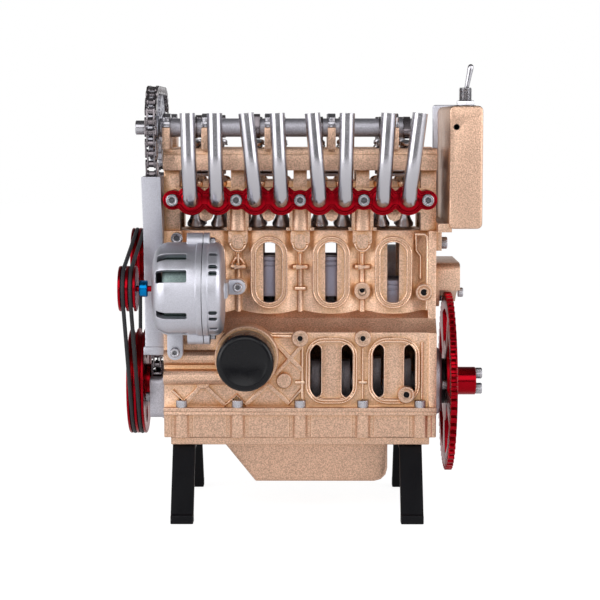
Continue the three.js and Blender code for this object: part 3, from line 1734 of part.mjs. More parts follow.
// Fixed castings and covers
add("cylinder_block", cylinderBlock(), champagne);
add("oil_pan", oilPan(), champagne);
add("cylinder_head", cylinderHead(), champagne);
add("cam_carrier", camCarrier(), champagne);
add("exhaust_flange", exhaustFlange(), redAnodised);
portStations.forEach((station, index) => {
  const seat = pivot("", [station, -flangeFace - flangeThickness, portHeight]);
  add("exhaust_pipe_" + (index + 1), exhaustPipe(pipeLeans[index]), polishedSteel, seat);
});
add("timing_cover", timingCover(), satinSilver);
add("front_bearing_housing", frontHousing(), castGrey);
add("rear_bearing_housing", rearHousing(), castGrey);
add("alternator_front_housing", alternatorFront(), satinSilver);
add("alternator_rear_housing", alternatorRear(), satinSilver);
add("oil_filter", oilFilter(), blackSatin);
add("battery_box", batteryBox(), champagne);
add("battery_box_cover", boxCover(), satinSilver);
add("switch_bushing", switchBushing(), polishedSteel);
add("starter_bracket", starterBracket(), champagne);
add("starter_motor", starterMotor(), castGrey);
for (const [name, x] of [["stand_left", standLeft], ["stand_right", standRight]]) {
  add(name, stand(), blackSatin, pivot("", [x, 0, 0]));
}

// Chain and belts, at rest in their loops
const chainCircles = [
  { y: 0, z: crankHeight, radius: crankSprocketRadius },
  ...camAxes.map((axis) => ({ y: axis, z: camHeight, radius: camSprocketRadius })),
];
const chainFrom = chainPlane - chainWidth / 2;
add(
  "timing_chain",
  bandSolid(chainCircles, -chainHalfHeight, chainHalfHeight, chainFrom, chainFrom + chainWidth),
  darkSteel
);
const beltCircles = [
  { y: 0, z: crankHeight, radius: crankPulleyRadius - grooveDepth },
  { y: alternatorAxis[0], z: alternatorAxis[1], radius: alternatorPulleyRadius - grooveDepth },
  { y: pumpPulleyDepth, z: crankHeight + pumpPulleyRise, radius: pumpPulleyRadius - grooveDepth },
];
beltPlanes.forEach((plane, index) => {
  const name = ["drive_belt_outer", "drive_belt_inner"][index];
  const half = beltSize / 2 - beltSideGap;
  const loop = bandSolid(beltCircles, runningGap, runningGap + beltSize, plane - half, plane + half);
  add(name, loop, blackRubber);
});

// Crank body with what it carries
const crank = pivot("crank_axis", [0, 0, crankHeight]);
add("crankshaft", crankshaft(), pistonGrey, crank);
add("crank_pulley", crankPulley(), redAnodised, crank);
add("flywheel", flywheel(), redAnodised, crank);
const crankSprocketSeat = pivot("", [chainPlane, 0, 0], crank);
const crankBore = noseRadius + runningGap;
add("crank_sprocket", sprocket(crankSprocketRadius, crankBore, chainWidth), darkSteel, crankSprocketSeat);

// Two dowels half a throw from the crank axis; the tips that they carry move straight up and down
const dowelNames = { 1: "upper_dowel", "-1": "lower_dowel" };
const tips = {};
for (const up of [1, -1]) {
  const dowelAxis = pivot(dowelNames[up] + "_axis", [0, 0, (up * crankRadius) / 2], crank);
  const from = rearFlangeEnd - dowelLength / 2 + runningGap;
  const dowel = bar("x", [0, 0], dowelRadius, from, from + dowelLength - runningGap, smallSides);
  add(dowelNames[up], dowel, darkSteel, dowelAxis);
  tips[up] = dowelAxis;
}
cylinderStations.forEach((station, index) => {
  const up = crankAngles[index];
  const number = index + 1;
  const tip = pivot("piston_" + number + "_axis", [station, 0, (up * crankRadius) / 2], tips[up]);
  const seat = pivot("", [0, 0, rodLength], tip);
  add("piston_" + number, piston(), pistonGrey, seat);
  const pin = pivot("rod_" + number + "_axis", [station, 0, up * crankRadius], crank);
  add("connecting_rod_" + number, connectingRod(), castGrey, pin);
});

// Camshafts with their sprockets
const camNames = ["exhaust", "intake"];
camNames.forEach((name, index) => {
  const axis = pivot(name + "_cam_axis", [0, camAxes[index], camHeight]);
  const shares = index === 0 ? lobeAngleShares : intakeAngleShares;
  add(name + "_camshaft", camshaft(shares), castGrey, axis);
  const seat = pivot("", [chainPlane, 0, 0], axis);
  const bore = camBoltRadius + runningGap;
  const length = chainWidth - 2 * runningGap;
  add(name + "_cam_sprocket", sprocket(camSprocketRadius, bore, length), satinSilver, seat);
});

// Twin valves on their inclined axes
camNames.forEach((name, index) => {
  const side = index === 0 ? -1 : 1;
  cylinderStations.forEach((station, cylinder) => {
    const pair = name + "_valves_" + (cylinder + 1);
    const axis = pivot(pair + "_axis", [station, side * valveDepth, valveFoot]);
    axis.rotation.x = -side * valveTilt;
    add(pair, valvePair(), darkSteel, axis);
  });
});

// Belt driven shafts
const alternatorPivot = pivot("alternator_axis", [0, ...alternatorAxis]);
add("alternator_pulley", alternatorPulley(), redAnodised, alternatorPivot);
add("alternator_coupling", alternatorCoupling(), blueAnodised, alternatorPivot);
const pumpPivot = pivot("pump_axis", [0, pumpPulleyDepth, crankHeight + pumpPulleyRise]);
add("water_pump_pulley", pumpPulley(), redAnodised, pumpPivot);

// Starter pinion and switch lever
const pinionPivot = pivot("pinion_axis", [halfLength, ...pinionAxis]);
add("starter_pinion", starterPinion(), polishedSteel, pinionPivot);
const leverPivot = pivot("lever_axis", [switchX, switchDepth, boxHigh + leverPivotRise]);
leverPivot.rotation.y = 2 * Math.PI * leverTiltShare;
add("switch_lever", switchLever(), polishedSteel, leverPivot);

// The part's own frame: centred on its box, standing at zero
engine.updateMatrixWorld(true);
const extent = new THREE.Box3().setFromObject(engine, true);
const model = new THREE.Group();
model.add(engine);
engine.position.set(-(extent.min.x + extent.max.x) / 2, -(extent.min.y + extent.max.y) / 2, -extent.min.z);

export default model;
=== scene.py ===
# Looks of a four stroke engine model: castings, belts, chain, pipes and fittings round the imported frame
import json
import math
from functools import partial

import bpy
from mathutils import Matrix, Vector


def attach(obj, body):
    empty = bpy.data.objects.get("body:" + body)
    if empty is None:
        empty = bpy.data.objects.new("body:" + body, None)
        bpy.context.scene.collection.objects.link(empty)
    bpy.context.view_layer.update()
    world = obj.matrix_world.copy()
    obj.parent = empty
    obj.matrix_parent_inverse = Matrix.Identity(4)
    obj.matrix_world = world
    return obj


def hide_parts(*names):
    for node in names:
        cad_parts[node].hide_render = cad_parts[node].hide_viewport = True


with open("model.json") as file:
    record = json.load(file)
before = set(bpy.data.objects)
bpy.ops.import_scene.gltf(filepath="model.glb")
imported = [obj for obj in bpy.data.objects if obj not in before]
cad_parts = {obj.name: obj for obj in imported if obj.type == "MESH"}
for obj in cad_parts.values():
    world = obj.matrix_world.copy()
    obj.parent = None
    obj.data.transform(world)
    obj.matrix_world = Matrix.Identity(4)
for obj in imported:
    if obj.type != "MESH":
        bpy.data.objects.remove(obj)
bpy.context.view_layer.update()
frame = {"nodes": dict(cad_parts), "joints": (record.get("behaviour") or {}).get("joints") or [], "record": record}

bl_info = {
    "name": "Four stroke engine model",
    "version": (1, 0, 0),
    "blender": (4, 5, 0),
    "location": "View3D > Sidebar > Engine",
    "description": "Dresses the packed solids of a four stroke engine model",
    "category": "Object",
}

# One millimetre in metres, and the closest that two corners of a shape may lie
MM = 0.001
WELD = 0.000002

JOINTS = {joint["name"]: joint for joint in frame["joints"]}
CRANK_AXIS = Vector(JOINTS["crank_spin"]["pos_m"])

# All places below are in millimetres: along the crank from the middle of the block, across it from the
# crank's axis with the exhaust side negative, and up from the ground
CYLINDERS = (-42, -14, 14, 42)
VALLEYS = (-28, 0, 28)
HALF_LENGTH = 61
CRANK = 58
DECK = 128.8

# The two valves and lobes of one side stand this far from their cylinder's middle
TWINS = (-5.4, 5.4)

# The crank's throws at rest, the rods' length, and how far a crown stands over its pin
THROWS = (-5.4, 5.4, 5.4, -5.4)
ROD = 44.3
CROWN = 9

# Camshafts: their axes, their bearings, and half a bearing's width
CAM_LEVEL = 174.8
CAM_SIDES = (-20, 20)
CAM_BEARINGS = (-59.4,) + CYLINDERS
BEARING_HALF = 7.6
GUIDE_FOOT = 130.8

# Exhaust: ports, how far each pipe leans aside at its top, and where the lean starts above the port
PORT_LEVEL = 143.2
PORTS = tuple(station + side * 5.7 for station in CYLINDERS for side in (-1, 1))
PIPE_LEANS = (-0.8, -0.5, -3.5, -1.5, -2.9, 0.7, 2.0, 4.1)
PIPE_RISE = 37.9
LEAN_START = 5
FLANGE_SCREWS = (-56.05, -28, 0, 28, 56.05)
FLANGE_END = 60.3
FLANGE_FACE = -36.5

# Oil pan and oil filter
PAN_SCREWS = (-53.1, -28.1, 0, 28.1, 53.7)
PAN_SCREW_SIDE = 29.1
PAN_WALL = 26.65
COLUMN_LEVELS = (36.6, 48.2)
FILTER = (-23.7, 73.5)

# Walls, windows and slots of the block
BARREL_FACE = -20.1
BARREL_WINDOW = (93.7, 126.2)
CRANKCASE_FACE = -29.1
CRANKCASE_WINDOW = (52.0, 81.0)
SLOT_STATIONS = (7, 21, 35, 49)
SLOT_LEVELS = (54.4, 78.6)

# Alternator, water pump, belts, chain and switch
ALTERNATOR = (-48, 105.2)
LUG_REACH = 20.1
PUMP = (14, 114)
BELT_PLANES = (-76.3, -73.0)
CHAIN_PLANE = -65.4
LINKS = 76
CAM_SPROCKET = (16.73, 22)
CRANK_SPROCKET = (8.45, 11)
SWITCH = (73.6, -20)
PIVOT_LEVEL = 189.8

# Cast ribs on the crankcase beside the oil filter, as lines of points in x and z
CRANKCASE_RIBS = (
    ((-57.2, 57.6), (-52.4, 52.6), (-43.6, 60.8), (-33.6, 50.9), (-28.4, 55.6), (-24.4, 51.0), (-14.4, 60.5)),
    ((-14.4, 60.5), (-5.0, 51.6), (0.8, 58.5)),
    ((-12.9, 81.0), (-5.0, 71.8), (0.8, 66.9)),
    ((0.8, 77.8), (-5.0, 71.8), (-11.0, 64.9)),
    ((-17.5, 85.8), (-12.4, 82.1), (-3.8, 82.1)),
    ((1.0, 77), (1.0, 52.7)),
)

# Other cast lines of the block: the wall's y, the line's radius, and its points in x and z
BLOCK_LINES = (
    (-21.4, 0.7, ((51.4, 127.3), (55.9, 127.3), (56.9, 126.3), (56.9, 93.2))),
    (-17.4, 0.7, ((52.3, 127.3), (52.3, 119.8), (54.4, 117.3), (54.4, 107))),
    (-28.3, 0.6, ((54.5, 79.5), (54.5, 50.5))),
    (-28.4, 0.5, ((28, 77), (28, 51))),
    (-28.3, 0.9, ((26.2, 61.3), (29.8, 61.3))),
    (-28.3, 0.9, ((-2.2, 61.3), (2, 61.3))),
)

# Bored bosses in x, z and the y of their wall, and their ring and the black cone of painted shade deep in their
# bore, as radius and height from that wall
BORED_BOSSES = ((28, 101.2, -15.5), (55.6, 101.2, -19.8), (0, 81.3, -28), (28, 81.3, -28), (47.4, 55.9, -28))
BOSS_RING = (
    ((1.3, 1), (3.8, 1), (3.8, -2.7), (3.5, -3.1), (2.9, -3.1), (2.65, -2.5), (2.35, -2.5), (2.1, -3.0))
    + ((1.5, -3.0), (1.5, -1.5), (1.3, -1.5), (1.3, 1))
)
BORE_SHADE_CONE = ((1.48, -1.4), (1.48, -2.3), (0.3, -2.1))

# A screw column of the pan across x and away from the wall, with a fillet at each side
COLUMN_SIDE = ((6.6, 0), (6.1, 1.2), (5.7, 2.4), (5.0, 2.85), (4.6, 2.5), (4.3, 1.9))
PAN_COLUMN = (
    [(-u, v) for u, v in COLUMN_SIDE]
    + [(4.05 * math.sin(math.radians(a)), 4.05 * math.cos(math.radians(a))) for a in range(-62, 63, 8)]
    + list(reversed(COLUMN_SIDE))
)

# Bends of a pipe: radius, first and last angle in degrees, and the eighths of the bend that are drawn
PIPE_BENDS = ((5, 0, 59.4, range(9)), (34, 59.4, 90, range(2, 9)))

# Each shape's own axis: how a flat circle is turned to face along it
AXES = {
    "x": ((0, math.pi / 2, 0), Vector((1, 0, 0))),
    "y": ((-math.pi / 2, 0, 0), Vector((0, 1, 0))),
    "z": ((0, 0, 0), Vector((0, 0, 1))),
}


def linear(code):
    """A colour written as an sRGB hex code, as the linear values that the shaders take."""
    channels = (int(code[place : place + 2], 16) / 255 for place in (0, 2, 4))
    return tuple(c / 12.92 if c <= 0.04045 else ((c + 0.055) / 1.055) ** 2.4 for c in channels)


def colour_property(name, code, description):
    return bpy.props.FloatVectorProperty(
        name=name, description=description, default=linear(code), subtype="COLOR", min=0, max=1
    )


def length_property(name, millimetres, description):
    return bpy.props.FloatProperty(
        name=name, description=description, default=millimetres * MM, min=0, unit="LENGTH"
    )


class EngineColours(bpy.types.PropertyGroup):
    """Colours of the finishes."""

    champagne: colour_property("Champagne", "D0AD96", "Anodised castings of the block, head and pan")
    milled: colour_property("Milled champagne", "E0BEA6", "Smooth rims and beads of the castings")
    # The tint of painted shade and painted reflection in the castings' recesses
    hollow: colour_property("Hollow", "C8945C", "Deep places of the castings, where gold mirrors gold")
    silver: colour_property("Silver", "BFBFC8", "Blasted alternator housings and covers")
    casting: colour_property("Grey casting", "B2B0B8", "Rods, camshafts and bearing housings")
    steel: colour_property("Steel", "B4B2B8", "Exhaust pipes, screws, valves and switch")
    dark_steel: colour_property("Dark steel", "7E777B", "Chain, cam lobes and dowels")
    red: colour_property("Red", "980A18", "Anodised pulleys, flywheel and flange")
    blue: colour_property("Blue", "0A78B8", "Anodised coupling of the alternator")
    # Black is also painted as shade in the buffed steel's recesses
    black: colour_property("Black", "06060A", "Oil filter and stands")
    rubber: colour_property("Rubber", "232326", "Drive belts")
    piston: colour_property("Piston", "9694A4", "Graphite coated pistons")
    winding: colour_property("Winding", "5F6E6C", "Enamelled wire of the alternator's coil")


class EngineSizes(bpy.types.PropertyGroup):
    """Sizes of the fittings."""

    casting_edge: length_property("Casting edge", 0.4, "Rounding of the castings' edges")
    bead: length_property("Bead", 0.45, "Radius of the raised beads round the windows")
    belt: length_property("Belt", 1.8, "Thickness of a round belt")
    pipe: length_property("Pipe", 6.65, "Outer width of an exhaust pipe")
    chain_roller: length_property("Chain roller", 3.0, "Width across a chain roller")
    spring_wire: length_property("Spring wire", 0.7, "Thickness of a valve spring's wire")
    screw_head: length_property("Screw head", 5.5, "Width of a socket screw's head")
    screw_height: length_property("Screw height", 3.0, "Height of a socket screw's head")
    grain: length_property("Grain", 0.55, "Grain of the sand cast skin")


def at(x, y, z):
    """A place given in the engine's own millimetres, in metres of the frame."""
    return Vector((CRANK_AXIS.x + x * MM, CRANK_AXIS.y + y * MM, z * MM))


def place(axis, across, station):
    """A point of an axis: its two coordinates across the axis, and its station along it."""
    if axis == "x":
        return at(station, *across)
    if axis == "y":
        return at(across[0], station, across[1])
    return at(*across, station)


def moved(profile, station):
    """A profile of radius and station, moved along its axis."""
    return [(radius, station + along) for radius, along in profile]


def select_only(*pieces):
    """Leaves edit mode and selects these pieces, the first one active."""
    if bpy.context.mode != "OBJECT":
        bpy.ops.object.mode_set(mode="OBJECT")
    bpy.ops.object.select_all(action="DESELECT")
    for piece in pieces:
        piece.select_set(True)
        bpy.context.view_layer.objects.active = pieces[0]


def begin(add, **settings):
    """Adds a primitive with nothing else selected, and opens it for modelling."""
    select_only()
    add(**settings)
    bpy.ops.object.mode_set(mode="EDIT")
    bpy.ops.mesh.select_mode(type="VERT")
    bpy.ops.mesh.select_all(action="SELECT")
    return bpy.context.object


def closed_up(piece):
    """Merges double corners, turns all faces outwards, and puts the piece's place and turn into its mesh."""
    bpy.ops.mesh.select_all(action="SELECT")
    bpy.ops.mesh.remove_doubles(threshold=WELD)
    bpy.ops.mesh.normals_make_consistent(inside=False)
    select_only(piece)
    bpy.ops.object.transform_apply(location=True, rotation=True, scale=True)
    return piece


def turned(axis, across, profile, sides=64):
    """A round shape: a circle is pushed along its axis and widened or narrowed to each radius in turn."""
    rotation, way = AXES[axis]
    ring = profile[0] == profile[-1]
    radius, station = profile[0]
    piece = begin(
        bpy.ops.mesh.primitive_circle_add,
        vertices=sides,
        radius=radius * MM,
        fill_type="NOTHING" if ring else "NGON",
        location=place(axis, across, station),
        rotation=rotation,
    )
    for next_radius, next_station in profile[1:]:
        push = way * (next_station - station) * MM
        bpy.ops.mesh.extrude_region_move(TRANSFORM_OT_translate={"value": push})
        share = next_radius / radius
        bpy.ops.transform.resize(value=(share,) * 3, center_override=place(axis, across, next_station))
        radius, station = next_radius, next_station
    return closed_up(piece)


def plate(axis, outline, low, high):
    """A flat shape: a circle's corners are set on the outline, and its face is pushed to the other side."""
    piece = begin(bpy.ops.mesh.primitive_circle_add, vertices=len(outline), radius=MM, fill_type="NGON")
    bpy.ops.object.mode_set(mode="OBJECT")
    for vertex, point in zip(piece.data.vertices, outline):
        vertex.co = place(axis, point, low)
    bpy.ops.object.mode_set(mode="EDIT")
    bpy.ops.mesh.extrude_region_move(TRANSFORM_OT_translate={"value": AXES[axis][1] * (high - low) * MM})
    return closed_up(piece)


def tube(points, radius, sides=12, closed=False):
    """A round wire, pipe or bead along a line of points."""
    curve = bpy.data.curves.new("run", "CURVE")
    curve.dimensions = "3D"
    curve.bevel_depth = radius * MM
    curve.bevel_resolution = (sides - 4) // 2
    curve.use_fill_caps = not closed
    spline = curve.splines.new("POLY")
    spline.points.add(len(points) - 1)
    for point, spot in zip(spline.points, points):
        point.co = (*spot, 1)
    spline.use_cyclic_u = closed
    piece = bpy.data.objects.new("run", curve)
    select_only()
    bpy.context.collection.objects.link(piece)
    select_only(piece)
    bpy.ops.object.convert(target="MESH")
    return bpy.context.object


def bead(y, line, radius, sides=12, closed=False):
    """A raised line on a wall that faces along y, from points in x and z."""
    return tube([place("y", point, y) for point in line], radius, sides, closed)


def joined(pieces):
    """One object from several."""
    select_only(*pieces)
    if len(pieces) > 1:
        bpy.ops.object.join()
    return bpy.context.object


def copied(piece, matrix):
    """A copy of a piece with a mesh of its own, moved in its mesh."""
    twin = piece.copy()
    twin.data = piece.data.copy()
    twin.data.transform(matrix)
    bpy.context.collection.objects.link(twin)
    return twin


def from_origin(*pieces):
    """Moves pieces that were made on the crank's axis to the frame's origin, ready to be copied."""
    for piece in pieces:
        piece.data.transform(Matrix.Translation(-at(0, 0, 0)))
    return pieces[0]


def removed(*pieces):
    for piece in pieces:
        bpy.data.objects.remove(piece)


def cut(piece, tools):
    """Takes the tools out of a piece."""
    tool = joined(tools)
    select_only(piece)
    cutter = piece.modifiers.new("cut", "BOOLEAN")
    cutter.operation = "DIFFERENCE"
    cutter.solver = "EXACT"
    cutter.object = tool
    bpy.ops.object.modifier_apply(modifier=cutter.name)
    removed(tool)
    return piece


def rounded_edges(piece, width, angle=32):
    """Rounds the sharp edges of a piece by a width in millimetres."""
    select_only(piece)
    bevel = piece.modifiers.new("edges", "BEVEL")
    bevel.width = width * MM
    bevel.segments = 2
    bevel.limit_method = "ANGLE"
    bevel.angle_limit = math.radians(angle)
    bevel.use_clamp_overlap = True
    bpy.ops.object.modifier_apply(modifier=bevel.name)
    return piece


def finished(pieces, name, finish, body="engine", replaces=(), angle=38):
    """Joins pieces under a name, gives them their finish and hangs them on the body that they move with."""
    piece = joined(pieces if isinstance(pieces, list) else [pieces])
    bpy.ops.object.shade_smooth_by_angle(angle=math.radians(angle))
    piece.name = name
    piece.data.name = name
    piece.data.materials.clear()
    piece.data.materials.append(bpy.data.materials[finish])
    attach(piece, body)
    if replaces:
        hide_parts(*replaces)
    return piece


def arc(centre, radius, start, end, steps):
    """Points of an arc between two angles in degrees."""
    angles = (math.radians(start + (end - start) * step / steps) for step in range(steps + 1))
    return [(centre[0] + radius * math.cos(a), centre[1] + radius * math.sin(a)) for a in angles]


def rounded_outline(u, v, radius, steps=8):
    """A rectangle with round corners."""
    left, right = u[0] + radius, u[1] - radius
    low, high = v[0] + radius, v[1] - radius
    corners = ((right, low), (right, high), (left, high), (left, low))
    points = []
    for quarter, corner in enumerate(corners):
        points += arc(corner, radius, 90 * quarter - 90, 90 * quarter, steps)
    return points


def oblong(middle, half, levels, radius, steps=8):
    """An upright rectangle with round corners, from its middle and half its width."""
    return rounded_outline((middle - half, middle + half), levels, radius, steps)


def loop_round(circles, steps=240):
    """The tight loop round circles given as (y, z, radius)."""
    points = []
    for step in range(steps):
        angle = 2 * math.pi * step / steps
        along = (math.cos(angle), math.sin(angle))
        y, z, radius = max(circles, key=lambda c: c[0] * along[0] + c[1] * along[1] + c[2])
        points.append((y + radius * along[0], z + radius * along[1]))
    return points


def spaced(points, count):
    """Points at equal distances along a closed line, which starts at its first point."""
    closed = points + points[:1]
    lengths = [math.dist(a, b) for a, b in zip(closed, closed[1:])]
    pitch = sum(lengths) / count
    found = []
    travelled = 0.0
    for (a, b), length in zip(zip(closed, closed[1:]), lengths):
        while len(found) < count and len(found) * pitch <= travelled + length:
            share = (len(found) * pitch - travelled) / length if length else 0
            found.append((a[0] + (b[0] - a[0]) * share, a[1] + (b[1] - a[1]) * share))
        travelled += length
    return found


# Finishes

# Millimetres: blotches that vary the gloss, the rounding of an edge that also sets the width of its painted
# highlight, and the reach of the painted shade and reflection in recesses
BLOTCH = 9
EDGE_ROUNDING_AND_HIGHLIGHT = 0.35
PAINTED_SHADE_REACH = 4
# The part of each pattern that is used, from none of the effect to all of it
GRAIN_RANGE = (0.36, 0.64)
GLOSS_RANGE = (0.3, 0.7)
PAINTED_HIGHLIGHT_RANGE = (0.995, 0.86)
PAINTED_SHADE_RANGE = (0.9, 0.4)
PAINTED_SHADE_SHARE = 0.75


def cleared(owner):
    """A material or world with an empty node tree."""
    owner.use_nodes = True
    owner.node_tree.nodes.clear()
    return owner


def add_node(owner, kind, links, **settings):
    """Adds a node, sets its options, and sets its inputs or links them to a socket or a node's first."""
    node = owner.node_tree.nodes.new("ShaderNode" + kind)
    for name, value in settings.items():
        setattr(node, name, value)
    for socket, source in links.items():
        if isinstance(source, bpy.types.Node):
            source = source.outputs[0]
        if isinstance(source, bpy.types.NodeSocket):
            owner.node_tree.links.new(source, node.inputs[socket])
        else:
            node.inputs[socket].default_value = source
    return node


def source_range(ends):
    return {"From Min": ends[0], "From Max": ends[1]}


def metal(
    name, colour, roughness, grain, depth, mottle, edge, metallic=1.0, spread=0.06, gloss=0.5, hollow=None
):
    """A finish with grain: mottled colour and gloss, painted highlights on edges, a bumpy skin and painted shade
    and reflection in recesses.
    """
    material = cleared(bpy.data.materials.new(name))
    material.diffuse_color = (*colour, 1)
    node = partial(add_node, material)
    spot = node("TexCoord", {}).outputs["Object"]
    fine = node("TexNoise", {"Vector": spot, "Scale": 1 / (grain * MM), "Detail": 3.0})
    broad = node("TexNoise", {"Vector": spot, "Scale": 1 / (BLOTCH * MM), "Detail": 2.0})
    flat = node("NewGeometry", {}).outputs["Normal"]
    rounding = node("Bevel", {"Radius": EDGE_ROUNDING_AND_HIGHLIGHT * MM}, samples=4)
    turn = node("VectorMath", {0: rounding, 1: flat}, operation="DOT_PRODUCT").outputs["Value"]
    # Painted highlight: where the bevel's normal turns from the face's own, the edge share mixes in a paler colour
    painted_edge_highlight = node("MapRange", {"Value": turn, **source_range(PAINTED_HIGHLIGHT_RANGE), "To Max": edge})
    dark, bright = ((*(min(1, c * share) for c in colour), 1) for share in (1 - mottle, 1 + mottle))
    grains = node("MapRange", {"Value": fine, **source_range(GRAIN_RANGE)})
    skin = node("MixRGB", {"Fac": grains, "Color1": dark, "Color2": bright})
    # Painted shade and reflection: recesses found by ambient occlusion are mixed towards a darker tint, orange
    # where gold faces gold and black in steel
    if hollow:
        open_share = node("AmbientOcclusion", {"Distance": PAINTED_SHADE_REACH * MM}, samples=6).outputs["AO"]
        deep = node("MapRange", {"Value": open_share, **source_range(PAINTED_SHADE_RANGE), "To Max": PAINTED_SHADE_SHARE})
        skin = node("MixRGB", {"Fac": deep, "Color1": skin, "Color2": (*hollow, 1)})
    # The painted highlight's colour: the finish's own colour made paler
    painted_highlight_colour = (*(c**0.6 for c in colour), 1)
    base = node("MixRGB", {"Fac": painted_edge_highlight, "Color1": skin, "Color2": painted_highlight_colour})
    dullness = {"To Min": roughness - spread, "To Max": roughness + spread}
    dull = node("MapRange", {"Value": broad, **source_range(GLOSS_RANGE), **dullness})
    bump = node("Bump", {"Height": fine, "Distance": depth * MM, "Strength": 1.0, "Normal": rounding})
    inputs = {"Base Color": base, "Roughness": dull, "Normal": bump}
    shader = node("BsdfPrincipled", {**inputs, "Metallic": metallic, "Specular IOR Level": gloss})
    node("OutputMaterial", {"Surface": shader})


class ENGINE_OT_finishes(bpy.types.Operator):
    """Makes the finishes of the metals, rubber and lacquer."""

    bl_idname = "engine.finishes"
    bl_label = "Finishes"

    def execute(self, context):
        # In each finish below, the number after the mottle is the share of painted highlight on its edges
        colours = context.scene.engine_colours
        grain = context.scene.engine_sizes.grain / MM
        # Sand cast aluminium, blasted and anodised: a glittering speckle, with edges made pale by painted
        # highlights and recesses tinted by painted shade and reflection
        metal("sand_cast_champagne", colours.champagne, 0.42, grain, 0.12, 0.26, 0.9, hollow=colours.hollow)
        # Milled and anodised aluminium: the same tint, smooth and brighter, with the same painted highlights on
        # edges and painted shade and reflection in recesses
        metal("milled_champagne", colours.milled, 0.24, grain, 0.004, 0.03, 0.5, hollow=colours.hollow)
        # Die cast aluminium, bead blasted: an even silver with a fine tooth
        metal("bead_blasted_silver", colours.silver, 0.46, 0.45, 0.03, 0.07, 0.5)
        # Grey casting left as it came from the mould: dull, with a coarser skin
        metal("grey_casting", colours.casting, 0.55, 0.5, 0.05, 0.14, 0.4)
        # Polished stainless steel: near mirror, with the haze of a buffed tube, and black painted shade in its
        # recesses
        metal("buffed_steel", colours.steel, 0.24, 0.3, 0.001, 0.02, 0.3, spread=0.03, hollow=colours.black)
        # Bright ground steel: valves, smooth with a faint grind
        metal("ground_steel", colours.steel, 0.3, 0.4, 0.004, 0.1, 0.4)
        # Oiled chain steel: dark, with painted highlights that make its corners bright
        metal("dark_oiled_steel", colours.dark_steel, 0.27, 0.3, 0.004, 0.12, 0.9)
        # Turned aluminium, dyed red and sealed: deep colour under a clear skin
        metal("dyed_red_aluminium", colours.red, 0.28, 0.35, 0.003, 0.06, 0.2)
        # The same, dyed blue
        metal("dyed_blue_aluminium", colours.blue, 0.28, 0.35, 0.003, 0.06, 0.15)
        # Lacquered sheet steel: black with one soft highlight
        metal("black_lacquer", colours.black, 0.26, 0.6, 0.002, 0.1, 0.02, metallic=0.0, gloss=0.25)
        # Powder coat on steel strip: black with a fine orange peel
        metal("powder_coated_black", colours.black, 0.45, 0.5, 0.015, 0.15, 0.03, metallic=0.0, gloss=0.15)
        # Extruded belt rubber: matt dark grey
        metal("belt_rubber", colours.rubber, 0.55, 0.4, 0.01, 0.15, 0.1, metallic=0.0, gloss=0.3)
        # Graphite coated aluminium: matt blue grey
        metal("graphite_piston", colours.piston, 0.5, 0.3, 0.003, 0.06, 0.5)
        # Enamelled winding wire on a dark core: grey green with a wet gloss
        metal("enamelled_wire", colours.winding, 0.4, 0.6, 0.02, 0.2, 0.2, metallic=0.6)
        return {"FINISHED"}


# Castings

CASTINGS = (
    ("sand_cast_champagne", ("cylinder_block", "oil_pan", "cylinder_head", "cam_carrier")),
    ("sand_cast_champagne", ("battery_box", "starter_bracket")),
    ("bead_blasted_silver", ("battery_box_cover", "timing_cover")),
    ("grey_casting", ("front_bearing_housing", "rear_bearing_housing", "starter_motor")),
    ("powder_coated_black", ("stand_left", "stand_right")),
    ("grey_casting", ("crankshaft", *("connecting_rod_" + str(number) for number in range(1, 5)))),
    ("buffed_steel", ("starter_pinion",)),
    ("dark_oiled_steel", ("upper_dowel", "lower_dowel")),
)


def body_of_node(node):
    for body, members in frame["record"]["behaviour"]["bodies"].items():
        if node in members:
            return body
    raise ValueError("no body holds " + node)


def recast(node):
    """A copy of a CAD solid with its corners merged and its flat faces whole."""
    piece = bpy.data.objects.new(node + "_casting", frame["nodes"][node].data.copy())
    bpy.context.collection.objects.link(piece)
    select_only(piece)
    bpy.ops.object.mode_set(mode="EDIT")
    bpy.ops.mesh.select_all(action="SELECT")
    bpy.ops.mesh.remove_doubles(threshold=WELD)
    bpy.ops.mesh.dissolve_limited(angle_limit=math.radians(0.6))
    bpy.ops.object.mode_set(mode="OBJECT")
    return piece


def lower_screw_tops(piece):
    """Lowers the block's own screw heads on its foot rail, to leave the sockets of the turned screws open."""
    for vertex in piece.data.vertices:
        x = (vertex.co.x - CRANK_AXIS.x) / MM
        y = (vertex.co.y - CRANK_AXIS.y) / MM
        beside = min(math.hypot(x - screw, abs(y) - PAN_SCREW_SIDE) for screw in PAN_SCREWS)
        if beside < 2.6 and 52.5 * MM < vertex.co.z < 54 * MM:
            vertex.co.z = 51 * MM


class ENGINE_OT_castings(bpy.types.Operator):
    """Rounds the edges of the castings and gives them their finishes."""

    bl_idname = "engine.castings"
    bl_label = "Castings"

    def execute(self, context):
        width = context.scene.engine_sizes.casting_edge / MM
        for finish, nodes in CASTINGS:
            for node in nodes:
                piece = recast(node)
                if node == "cylinder_block":
                    lower_screw_tops(piece)
                    slots = (oblong(x, 2.6, SLOT_LEVELS, 2.59, 10) for x in SLOT_STATIONS)
                    cut(piece, [plate("y", slot, -34, -22) for slot in slots])
                if node == "cam_carrier":
                    groove = ((-26.4, 162.9), (-24.9, 162.9), (-24.9, 164.7), (-26.4, 164.7))
                    cut(piece, [plate("x", groove, -HALF_LENGTH - 1, HALF_LENGTH + 1)])
                rounded_edges(piece, width * 3 if node == "oil_pan" else width)
                finished(piece, node + "_casting", finish, body_of_node(node), [node])
        return {"FINISHED"}


